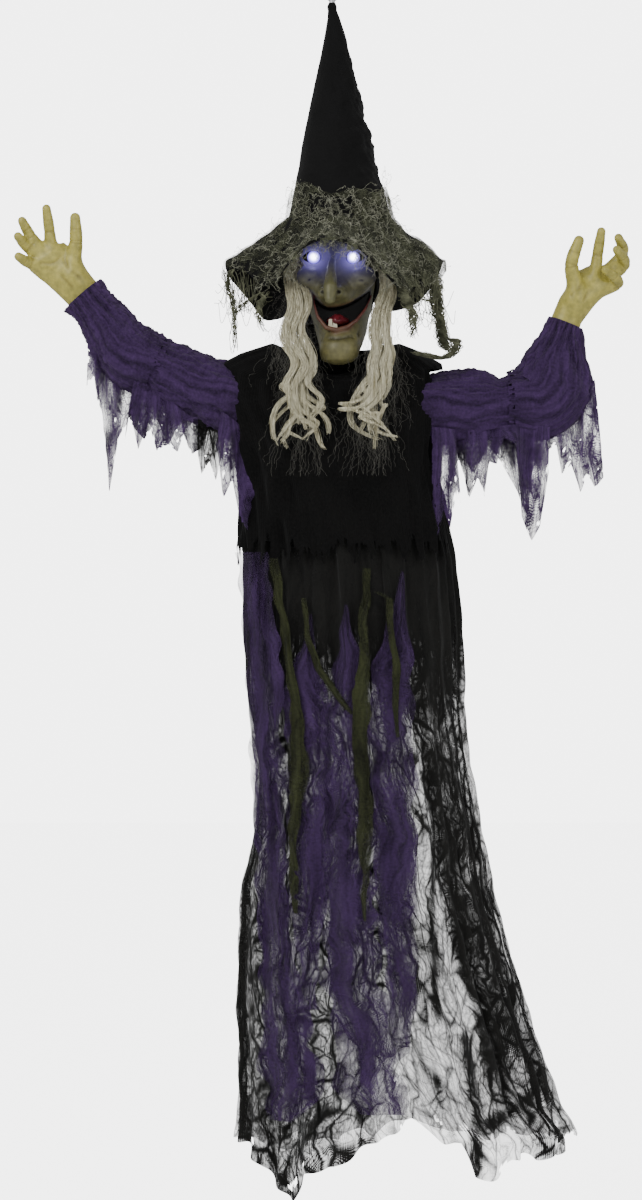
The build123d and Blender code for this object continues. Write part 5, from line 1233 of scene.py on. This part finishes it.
# Painted shade: the hollow behind the lips is painted near-black, darker the deeper it lies.
mouth_floor = np.interp(px, [p[0] for p in lip_line], [p[2] for p in lip_line]) - 0.001
hollow = (py > -0.074) & (pz < upper_lip(px) + 0.002) & (pz > mouth_floor) & (px > -0.030) & (px < 0.060)
deep = (step(-0.084, -0.066, py) * hollow)[:, None]
tint = tint * (1 - deep) + mouth_shade_colour * deep
# Painted light: the skin round the eye sockets and over the bags glows violet, standing in for the lenses'
# light falling on it.
glow = np.zeros(len(mask_points))
for eye_x in EYES:
    reach = np.sqrt(((px - eye_x) / 1.15) ** 2 + (pz + 0.412) ** 2 + ((py + 0.080) * 0.6) ** 2)
    glow += 0.8 * np.exp(-((reach / 0.014) ** 2)) + 0.12 * np.exp(-((reach / 0.030) ** 2))
glow *= step(0.055, 0.075, -py)


def skin(name, painted_lens_light_colour, strength, bump_size=0.0005, roughness=0.5):
    """Painted latex or vinyl: colour from the moulded piece, with pores, blotches and a soft shine; where
    marked glow it emits painted light from the eye lenses.
    """
    material, tree, shader = shader_tree(name)
    place = add_node(tree, "ShaderNodeTexCoord").outputs["Object"]
    tint_node = add_node(tree, "ShaderNodeAttribute", attribute_name="tint").outputs["Color"]
    blotch = add_node(tree, "ShaderNodeTexNoise", [("Vector", place)], Scale=120.0, Detail=5.0).outputs[0]
    pores = add_node(tree, "ShaderNodeTexNoise", [("Vector", place)], Scale=700.0, Detail=2.0).outputs[0]
    shade = ramp_node(tree, blotch, [(0.3, (0.72, 0.72, 0.70)), (0.7, (1.18, 1.16, 1.10))])
    mixed = add_node(tree, "ShaderNodeVectorMath", [(0, tint_node), (1, shade)],
                     operation="MULTIPLY").outputs[0]
    tree.links.new(mixed, shader.inputs["Base Color"])
    height = plus(tree, blotch, times(tree, pores, 0.4))
    bump = add_node(tree, "ShaderNodeBump", [("Height", height)], Strength=0.45, Distance=bump_size)
    tree.links.new(bump.outputs[0], shader.inputs["Normal"])
    shader.inputs["Roughness"].default_value = roughness
    shader.inputs["Subsurface Weight"].default_value = 0.08
    shader.inputs["Subsurface Radius"].default_value = (0.004, 0.003, 0.0015)
    # This emission is painted light from the eye lenses, not a lamp in the skin.
    if strength:
        shader.inputs["Emission Color"].default_value = (*painted_lens_light_colour, 1)
        amount = add_node(tree, "ShaderNodeAttribute", attribute_name="glow").outputs["Fac"]
        tree.links.new(times(tree, amount, strength), shader.inputs["Emission Strength"])
    return material


def paint(piece, colours):
    """Store one colour per point."""
    layer = piece.data.color_attributes.new("tint", "FLOAT_COLOR", "POINT")
    layer.data.foreach_set("color", np.concatenate([np.clip(colours, 0, 1), np.ones((len(colours), 1))], 1)
                           .astype(np.float32).ravel())


mask_latex = skin("mask_latex", (0.36, 0.30, 1.0), 0.75)
mask = make_piece("face_skin", mask_points, mask_faces, mask_latex, marks={"glow": glow})
paint(mask, tint)
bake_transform(mask)
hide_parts("mask_face", "jaw_shell")

# ------------------------------------------------------------------ Tongue and painted mouth shade
# A glossy dark-red vinyl tongue stands up from the jaw in front of the mask's own wall, which closes the
# mouth behind and is painted near-black there as painted shade. The tongue is moulded in one piece with a
# groove down its middle.
tongue_step = 0.0012
space = grid_space((-0.016, -0.092, -0.522), (0.036, -0.026, -0.480), tongue_step)
blob = limb(space, ((0.010, -0.034, -0.508), (0.009, -0.056, -0.500), (0.008, -0.074, -0.5005),
                    (0.007, -0.080, -0.504)),
            (0.006, 0.0075, 0.0070, 0.0045))
blob = smooth_union(blob, ball(space, (0.009, -0.060, -0.5045), (0.018, 0.022, 0.0085)), 0.006)
blob += 0.0016 * np.exp(-(((space[0] - 0.0085) / 0.0018) ** 2)) * (space[2] > -0.503)
tongue_points, tongue_faces = surface(blob, np.array((-0.016, -0.092, -0.522)), tongue_step)
tongue_points = relax(tongue_points, tongue_faces, 3)
wet_red = skin("tongue_skin", (1, 1, 1), 0, bump_size=0.0003, roughness=0.28)
tongue = make_piece("moulded_tongue", tongue_points, tongue_faces, wet_red)
tongue_tint = np.array((0.130, 0.012, 0.020)) * (1 + 0.3 * ripple(tongue_points, 0.008, 66)[:, None])
paint(tongue, tongue_tint)
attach(tongue, "jaw")
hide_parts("tongue")

# ------------------------------------------------------------------ Hood
# A black knit hood is stretched over the back of the skull and sewn into a neck that hangs inside the
# tunic's collar, so nothing of the drive shows between the mask, the hair and the clothes.
HOOD_SECTIONS = (
    (0.330, 0.000, 0.0500, 0.060), (0.345, 0.000, 0.0610, 0.074), (0.374, 0.000, 0.0670, 0.086),
    (0.415, 0.000, 0.0670, 0.088), (0.451, 0.000, 0.0650, 0.082), (0.481, 0.002, 0.0590, 0.074),
    (0.505, 0.008, 0.0500, 0.052), (0.530, 0.016, 0.0400, 0.034), (0.560, 0.017, 0.0380, 0.028),
    (0.592, 0.017, 0.0370, 0.026))
z, turn = np.meshgrid(-np.linspace(0.330, 0.592, 110), np.linspace(0, 2 * np.pi, 160, endpoint=False),
                      indexing="ij")
middle, half_x, half_y = between(HOOD_SECTIONS, -z)
space = np.stack([np.cos(turn) * 0.07, np.sin(turn) * 0.07, z], -1)
loose_by = 0.0012 * ripple(space, 0.05, 71) + 0.0016
x = (half_x + loose_by) * np.cos(turn) + 0.001
y = middle - (half_y + loose_by) * np.sin(turn)
opened = (y < 0.004 - 0.002 * np.cos(turn * 3)) & (z > -0.508)
hood = cloth_piece("skull_hood", np.stack([x, y, z], -1), black_knit, np.ones(z.shape), opened,
                   closed=True)
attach(hood, "head")

# ------------------------------------------------------------------ Hands
# Hollow vinyl hands, moulded in one piece with plump fingers, palm creases and short nails, and slipped
# over the wrist pegs. The figure's right palm faces forwards; its left hand is cupped.
HANDS = {
    "right": dict(
        forearm=(-0.650, 0.0, 0.760), back=(0.25, 1.0, 0.1),
        palm=((-0.3715, 0.000, -0.4710, 0.028, 0.020), (-0.387, 0.000, -0.4530, 0.028, 0.020),
              (-0.404, -0.002, -0.434, 0.030, 0.018), (-0.423, -0.002, -0.414, 0.032, 0.015),
              (-0.436, -0.003, -0.402, 0.030, 0.012)),
        fingers=(((-0.397, -0.006, -0.410), (-0.392, -0.014, -0.378), (-0.393, -0.018, -0.343)),
                 ((-0.430, -0.004, -0.396), (-0.433, -0.008, -0.362), (-0.437, -0.018, -0.329)),
                 ((-0.440, -0.004, -0.400), (-0.462, -0.008, -0.370), (-0.474, -0.020, -0.348)),
                 ((-0.442, -0.004, -0.406), (-0.466, -0.010, -0.388), (-0.480, -0.024, -0.372)),
                 ((-0.438, -0.004, -0.416), (-0.463, -0.012, -0.412), (-0.479, -0.026, -0.403))),
        creases=(((-0.384, -0.022, -0.436), (-0.402, -0.022, -0.422), (-0.410, -0.018, -0.404)),
                 ((-0.398, -0.022, -0.448), (-0.416, -0.022, -0.432), (-0.436, -0.018, -0.420)),
                 ((-0.414, -0.018, -0.400), (-0.426, -0.019, -0.412), (-0.446, -0.016, -0.412)))),
    "left": dict(
        forearm=(0.361, 0.0, 0.933), back=(0.80, 0.60, 0.1),
        palm=((0.3530, 0.000, -0.5160, 0.024, 0.021), (0.3610, 0.000, -0.4950, 0.023, 0.019),
              (0.3730, -0.003, -0.474, 0.026, 0.020), (0.3890, 0.000, -0.452, 0.027, 0.020),
              (0.4020, 0.003, -0.436, 0.025, 0.015)),
        fingers=(((0.373, -0.012, -0.450), (0.366, -0.024, -0.414), (0.377, -0.030, -0.379)),
                 ((0.402, -0.006, -0.438), (0.407, -0.008, -0.398), (0.412, -0.018, -0.364)),
                 ((0.410, 0.004, -0.434), (0.446, 0.005, -0.396), (0.438, -0.022, -0.374)),
                 ((0.413, 0.009, -0.442), (0.449, 0.004, -0.413), (0.435, -0.030, -0.393)),
                 ((0.410, 0.013, -0.454), (0.439, 0.000, -0.441), (0.418, -0.032, -0.424))),
        creases=(((0.366, -0.024, -0.462), (0.380, -0.026, -0.448), (0.388, -0.022, -0.432)),
                 ((0.384, -0.022, -0.470), (0.396, -0.022, -0.452), (0.408, -0.018, -0.440))))}
HAND_STEP = 0.0016
hand_vinyl = skin("hand_vinyl", (1, 1, 1), 0, bump_size=0.0003, roughness=0.45)
vinyl_green = np.array((0.420, 0.375, 0.085))
vinyl_dark = np.array((0.160, 0.125, 0.025))
for side, shape in HANDS.items():
    knuckles = np.array([joint for finger in shape["fingers"] for joint in finger]
                        + [p[:3] for p in shape["palm"]])
    low, high = knuckles.min(0) - 0.036, knuckles.max(0) + 0.036
    space = grid_space(low, high, HAND_STEP)
    forward = np.array(shape["forearm"]) / np.linalg.norm(shape["forearm"])
    across = np.array((forward[2], 0, -forward[0]))
    palm = np.array(shape["palm"])
    along = sum(space[i] * forward[i] for i in range(3))
    aside = sum(space[i] * across[i] for i in range(3))
    stations = np.column_stack([palm[:, :3] @ forward, palm[:, :3] @ across, palm[:, 1], palm[:, 3],
                                palm[:, 4]])
    centre_w, centre_y, half_w, half_d = between(stations, along)
    ring = np.sqrt(((aside - centre_w) / half_w) ** 2 + ((space[1] - centre_y) / half_d) ** 2) - 1
    field = ring * np.minimum(half_w, half_d)
    heel = ball(space, palm[-1, :3], (0.026, 0.012, 0.022))
    field = smooth_union(np.maximum(field, along - stations[-1, 0]), heel, 0.012)
    for count, finger in enumerate(shape["fingers"]):
        radii = (0.0125, 0.0105, 0.0080) if count == 0 else (0.0098, 0.0088, 0.0068)
        line = smooth_path(finger, 9)
        widths = np.interp(np.linspace(0, 2, 9), (0, 1, 2), radii)
        widths[-3] += 0.0006
        field = smooth_union(field, limb(space, line, widths), 0.0055)
    if side == "right":
        field = smooth_union(field, ball(space, (-0.398, -0.010, -0.428), (0.016, 0.015, 0.022)), 0.010)
    else:
        field = smooth_union(field, ball(space, (0.374, -0.014, -0.462), (0.014, 0.014, 0.022)), 0.010)
    for finger in shape["fingers"]:
        for a, b, share in ((0, 1, 0.94), (1, 2, 0.02), (1, 2, 0.52)):
            a, b = np.array(finger[a]), np.array(finger[b])
            place = a + (b - a) * share
            heading = (b - a) / np.linalg.norm(b - a)
            run = sum((space[i] - place[i]) * heading[i] for i in range(3))
            away = np.sqrt(sum((space[i] - place[i]) ** 2 for i in range(3)))
            field += 0.0008 * np.exp(-((run / 0.0011) ** 2)) * (away < 0.0125)
    for line in shape["creases"]:
        field += 0.0016 * np.exp(-((limb(space, smooth_path(line, 9), (0,) * 9) / 0.0022) ** 2))
    hollow = np.maximum((np.sqrt(((aside - centre_w) / (half_w - 0.003)) ** 2 + (
        (space[1] - centre_y) / (half_d - 0.003)) ** 2) - 1) * 0.015, along - stations[2, 0])
    field = np.maximum(np.maximum(field, -hollow), stations[0, 0] - along)
    points, faces = surface(field, low, HAND_STEP)
    points = relax(points, faces, 2)
    tone = 0.5 + 0.25 * ripple(points, 0.02, 81)[:, None]
    colours = vinyl_green * (1 + 0.10 * (tone - 0.5))
    # Painted shade in the palm creases and knuckle lines, and the darker tone of the nails.
    crease_shade_and_nail_tone = np.zeros(len(points))
    for line in shape["creases"]:
        crease_shade_and_nail_tone = np.maximum(crease_shade_and_nail_tone, near_line(points, smooth_path(line, 9), 0.0026))
    for finger in shape["fingers"]:
        for a, b, share in ((0, 1, 0.94), (1, 2, 0.02), (1, 2, 0.52)):
            a, b = np.array(finger[a]), np.array(finger[b])
            run = (points - (a + (b - a) * share)) @ ((b - a) / np.linalg.norm(b - a))
            away = np.linalg.norm(points - (a + (b - a) * share), axis=1)
            crease_shade_and_nail_tone = np.maximum(crease_shade_and_nail_tone, 0.7 * np.exp(-((run / 0.0012) ** 2)) * (away < 0.0125))
        back = np.array(shape["back"]) / np.linalg.norm(shape["back"])
        nail = np.array(finger[2]) + back * 0.007
        away = np.linalg.norm((points - nail) * (1, 1, 0.7), axis=1)
        crease_shade_and_nail_tone = np.maximum(crease_shade_and_nail_tone, 0.45 * np.exp(-((away / 0.0055) ** 4)))
    colours = colours * (1 - 0.6 * crease_shade_and_nail_tone[:, None]) + vinyl_dark * 0.6 * crease_shade_and_nail_tone[:, None]
    hand = make_piece(f"{side}_vinyl_hand", points, faces, hand_vinyl, marks={"glow": np.zeros(len(points))})
    paint(hand, colours)
    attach(hand, f"{side}_hand")
    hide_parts(f"{side}_hand")

# ------------------------------------------------------------------ Hair
# Two long tresses of blond-grey synthetic hair, glued under the brim at the temples. Each is fifteen
# waved locks that lie on the chest and end in loose curls, with fine grey strays over the tunic.
TRESSES = {
    "right": dict(spine=(
        (-0.066, -0.044, -0.392), (-0.058, -0.058, -0.425), (-0.054, -0.074, -0.455),
        (-0.053, -0.086, -0.483), (-0.057, -0.096, -0.514), (-0.056, -0.103, -0.544),
        (-0.047, -0.108, -0.575), (-0.049, -0.110, -0.606), (-0.052, -0.113, -0.640),
        (-0.048, -0.114, -0.672), (-0.047, -0.114, -0.704)),
        widths=((0.0, 0.010, 0.008), (0.25, 0.017, 0.008), (0.5, 0.021, 0.009), (0.72, 0.020, 0.009),
                (0.85, 0.036, 0.011), (1.0, 0.032, 0.009))),
    "left": dict(spine=(
        (0.080, -0.044, -0.392), (0.084, -0.056, -0.430), (0.084, -0.074, -0.465), (0.078, -0.088, -0.495),
        (0.072, -0.098, -0.529), (0.076, -0.105, -0.560), (0.076, -0.109, -0.588), (0.058, -0.112, -0.613),
        (0.051, -0.114, -0.637), (0.062, -0.115, -0.665), (0.072, -0.114, -0.700)),
        widths=((0.0, 0.008, 0.008), (0.25, 0.014, 0.008), (0.5, 0.020, 0.009), (0.7, 0.018, 0.009),
                (0.85, 0.022, 0.011), (1.0, 0.022, 0.009)))}


def hair_paint(name, dark, light):
    """Glossy synthetic hair: fine streaks along its fall."""
    material, tree, shader = shader_tree(name)
    place = add_node(tree, "ShaderNodeTexCoord").outputs["Object"]
    drawn = add_node(tree, "ShaderNodeMapping", [("Vector", place)]).outputs[0]
    drawn.node.inputs["Scale"].default_value = (420, 420, 26)
    tone = add_node(tree, "ShaderNodeTexNoise", [("Vector", drawn)], Scale=1.0, Detail=3.0).outputs[0]
    tree.links.new(ramp_node(tree, tone, [(0.30, dark), (0.68, light)]), shader.inputs["Base Color"])
    shader.inputs["Roughness"].default_value = 0.42
    shader.inputs["Specular IOR Level"].default_value = 0.45
    return material


blond = hair_paint("blond_hair", (0.330, 0.290, 0.160), (0.930, 0.890, 0.680))
stray_grey = hair_paint("stray_grey_hair", (0.035, 0.034, 0.028), (0.160, 0.156, 0.130))
rng = np.random.default_rng(91)
HAIR_POINTS = 66
for side, tress in TRESSES.items():
    spine = smooth_path(tress["spine"], HAIR_POINTS)
    run = np.linspace(0, 1, HAIR_POINTS)
    half_width, half_depth = between(tress["widths"], run)
    paths = []
    wave_start = rng.uniform(0, 2 * np.pi)
    for lock in range(15):
        angle = rng.uniform(0, 2 * np.pi)
        reach = math.sqrt(rng.uniform(0.02, 1))
        phase = wave_start + rng.normal(0, 0.6) + run * 2 * np.pi * rng.uniform(3.1, 3.9)
        swing = (0.0012 + 0.0085 * run**1.2) * rng.uniform(0.7, 1.25)
        centre = spine.copy()
        centre[:, 0] += half_width * reach * np.cos(angle) + swing * np.sin(phase)
        centre[:, 1] += half_depth * reach * np.sin(angle) - 0.002 * np.cos(phase)
        curl = step(0.56, 0.84, run) * rng.uniform(0.010, 0.026)
        curl_turn = rng.choice([-1, 1]) * (run - 0.56) * 2 * np.pi * rng.uniform(2.0, 3.6)
        curl_turn = curl_turn + rng.uniform(0, 6.28)
        centre[:, 0] += curl * np.cos(curl_turn)
        centre[:, 2] += curl * np.sin(curl_turn) * 0.8
        last = int(HAIR_POINTS * rng.uniform(0.88, 1.0))
        lock_r = rng.uniform(0.0034, 0.0070) * (1 - 0.40 * run)
        for _ in range(34):
            a, r = rng.uniform(0, 2 * np.pi), math.sqrt(rng.uniform(0, 1))
            twist = a + run * rng.uniform(-1.5, 1.5)
            own = rng.uniform(0.0004, 0.0022)
            hair = centre.copy()
            hair[:, 0] += lock_r * r * np.cos(twist) + own * np.sin(run * rng.uniform(12, 34) + a)
            hair[:, 1] += lock_r * r * np.sin(twist) * 0.8
            hair[:, 2] += own * np.cos(run * rng.uniform(12, 34) + a)
            hair[:, 1] = np.maximum(hair[:, 1], -0.1345)
            paths.append(hair[: max(10, last - int(rng.uniform(0, 6)))])
    hair = strand_piece(f"{side}_tress", paths, 0.00033, blond, sides=3, taper=0.4)
    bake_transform(hair)
    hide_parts(f"hair_{side}")
    strays = []
    for _ in range(210):
        start = spine[int(rng.uniform(14, 60))] + (rng.uniform(-0.03, 0.03), rng.uniform(0.000, 0.006), 0)
        steps = np.linspace(0, 1, 22)[:, None]
        fall = np.array((rng.uniform(-0.035, 0.035), 0.0, -rng.uniform(0.03, 0.12)))
        wander = rng.normal(0, 0.0022, (22, 3)).cumsum(0) * (1, 0.15, 0.7)
        path = start + fall * steps + wander
        path[:, 1] = np.clip(path[:, 1], -0.130, np.where(path[:, 2] < -0.56, -0.100, -0.05))
        strays.append(path[path[:, 2] > -0.742])
    strays = [path for path in strays if len(path) > 6]
    fuzz = strand_piece(f"{side}_stray_hairs", strays, 0.00016, stray_grey, sides=3)
    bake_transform(fuzz)

# ------------------------------------------------------------------ Hard parts
# Everything the CAD made that still shows or sits inside: steel, brass, moulded plastics, cells, board,
# speaker cone, lamps and teeth. Each slot gets one procedural finish at its real scale.


def finish_paint(name, dark, light, metallic, roughness, scale=55.0, grain=900.0, bump_size=0.00015,
                 glow=None):
    """A hard finish: blotched colour, fine grain, scuffs in the gloss."""
    material, tree, shader = shader_tree(name)
    place = add_node(tree, "ShaderNodeTexCoord").outputs["Object"]
    blotch = add_node(tree, "ShaderNodeTexNoise", [("Vector", place)], Scale=scale, Detail=5.0).outputs[0]
    fine = add_node(tree, "ShaderNodeTexNoise", [("Vector", place)], Scale=grain, Detail=2.0).outputs[0]
    tree.links.new(ramp_node(tree, blotch, [(0.3, dark), (0.7, light)]), shader.inputs["Base Color"])
    gloss = plus(tree, roughness - 0.08, times(tree, blotch, 0.16))
    tree.links.new(gloss, shader.inputs["Roughness"])
    bump = add_node(tree, "ShaderNodeBump", [("Height", fine)], Strength=0.3, Distance=bump_size)
    tree.links.new(bump.outputs[0], shader.inputs["Normal"])
    shader.inputs["Metallic"].default_value = metallic
    if glow:
        shader.inputs["Emission Color"].default_value = (*glow[:3], 1)
        shader.inputs["Emission Strength"].default_value = glow[3]
    return material


# Slot, darker and lighter colour, metallic, roughness.
FINISHES = (
    ("steel", (0.42, 0.42, 0.43), (0.60, 0.60, 0.61), 1.0, 0.38),
    ("brass", (0.48, 0.36, 0.16), (0.66, 0.52, 0.26), 1.0, 0.35),
    ("black_plastic", (0.012, 0.012, 0.012), (0.030, 0.030, 0.031), 0.0, 0.50),
    ("grey_plastic", (0.10, 0.10, 0.10), (0.17, 0.17, 0.17), 0.0, 0.50),
    ("white_plastic", (0.62, 0.62, 0.60), (0.76, 0.76, 0.74), 0.0, 0.42),
    ("gear_plastic", (0.55, 0.54, 0.48), (0.70, 0.69, 0.62), 0.0, 0.40),
    ("motor_can", (0.34, 0.34, 0.35), (0.48, 0.48, 0.49), 1.0, 0.32),
    ("battery", (0.02, 0.02, 0.02), (0.05, 0.05, 0.05), 0.0, 0.35),
    ("circuit", (0.010, 0.060, 0.022), (0.020, 0.110, 0.040), 0.0, 0.40),
    ("speaker_paper", (0.020, 0.019, 0.018), (0.045, 0.043, 0.040), 0.0, 0.85),
    ("tongue_vinyl", (0.100, 0.008, 0.014), (0.230, 0.020, 0.035), 0.0, 0.32),
    ("tooth", (0.50, 0.45, 0.30), (0.78, 0.74, 0.60), 0.0, 0.30))
paints = {finish[0]: finish_paint(*finish) for finish in FINISHES}
paints["led"] = finish_paint("led", (0.6, 0.6, 0.9), (0.8, 0.8, 1.0), 0.0, 0.2, glow=(0.65, 0.68, 1.0, 6.0))

# The lit lenses: white-hot in the middle and blue-violet at the rim.
lens, tree, shader = shader_tree("lens")
place = add_node(tree, "ShaderNodeTexCoord").outputs["Object"]
spots = []
for eye_x in EYES:
    offset = add_node(tree, "ShaderNodeVectorMath", [(0, place)], operation="SUBTRACT").outputs[0]
    offset.node.inputs[1].default_value = (eye_x, -0.079, EYE_HEIGHT)
    spots.append(add_node(tree, "ShaderNodeVectorMath", [(0, offset)], operation="LENGTH").outputs["Value"])
reach = math_node(tree, "MINIMUM", *spots)
share = times(tree, reach, 1 / 0.0115, clamp=True)
tree.links.new(ramp_node(tree, share, [(0.0, (1, 1, 1)), (0.35, (0.80, 0.82, 1.0)), (0.62, (0.30, 0.26, 1.0)),
                                       (1.0, (0.10, 0.06, 0.45))]), shader.inputs["Emission Color"])
fade = ramp_node(tree, share, [(0.0, (1, 1, 1)), (0.35, (0.70,) * 3), (0.6, (0.22,) * 3), (1.0, (0.05,) * 3)])
tree.links.new(times(tree, fade, 14.0), shader.inputs["Emission Strength"])
cloud = add_node(tree, "ShaderNodeTexNoise", [("Vector", place)], Scale=300.0).outputs[0]
tree.links.new(ramp_node(tree, cloud, [(0.3, (0.30, 0.28, 0.60)), (0.7, (0.42, 0.40, 0.75))]),
               shader.inputs["Base Color"])
shader.inputs["Roughness"].default_value = 0.15
paints["lens"] = lens
for part in frame["record"]["subparts"]:
    node = frame["nodes"].get(part["node"])
    if node is not None and part["material_slot"] in paints:
        node.data.materials.clear()
        node.data.materials.append(paints[part["material_slot"]])
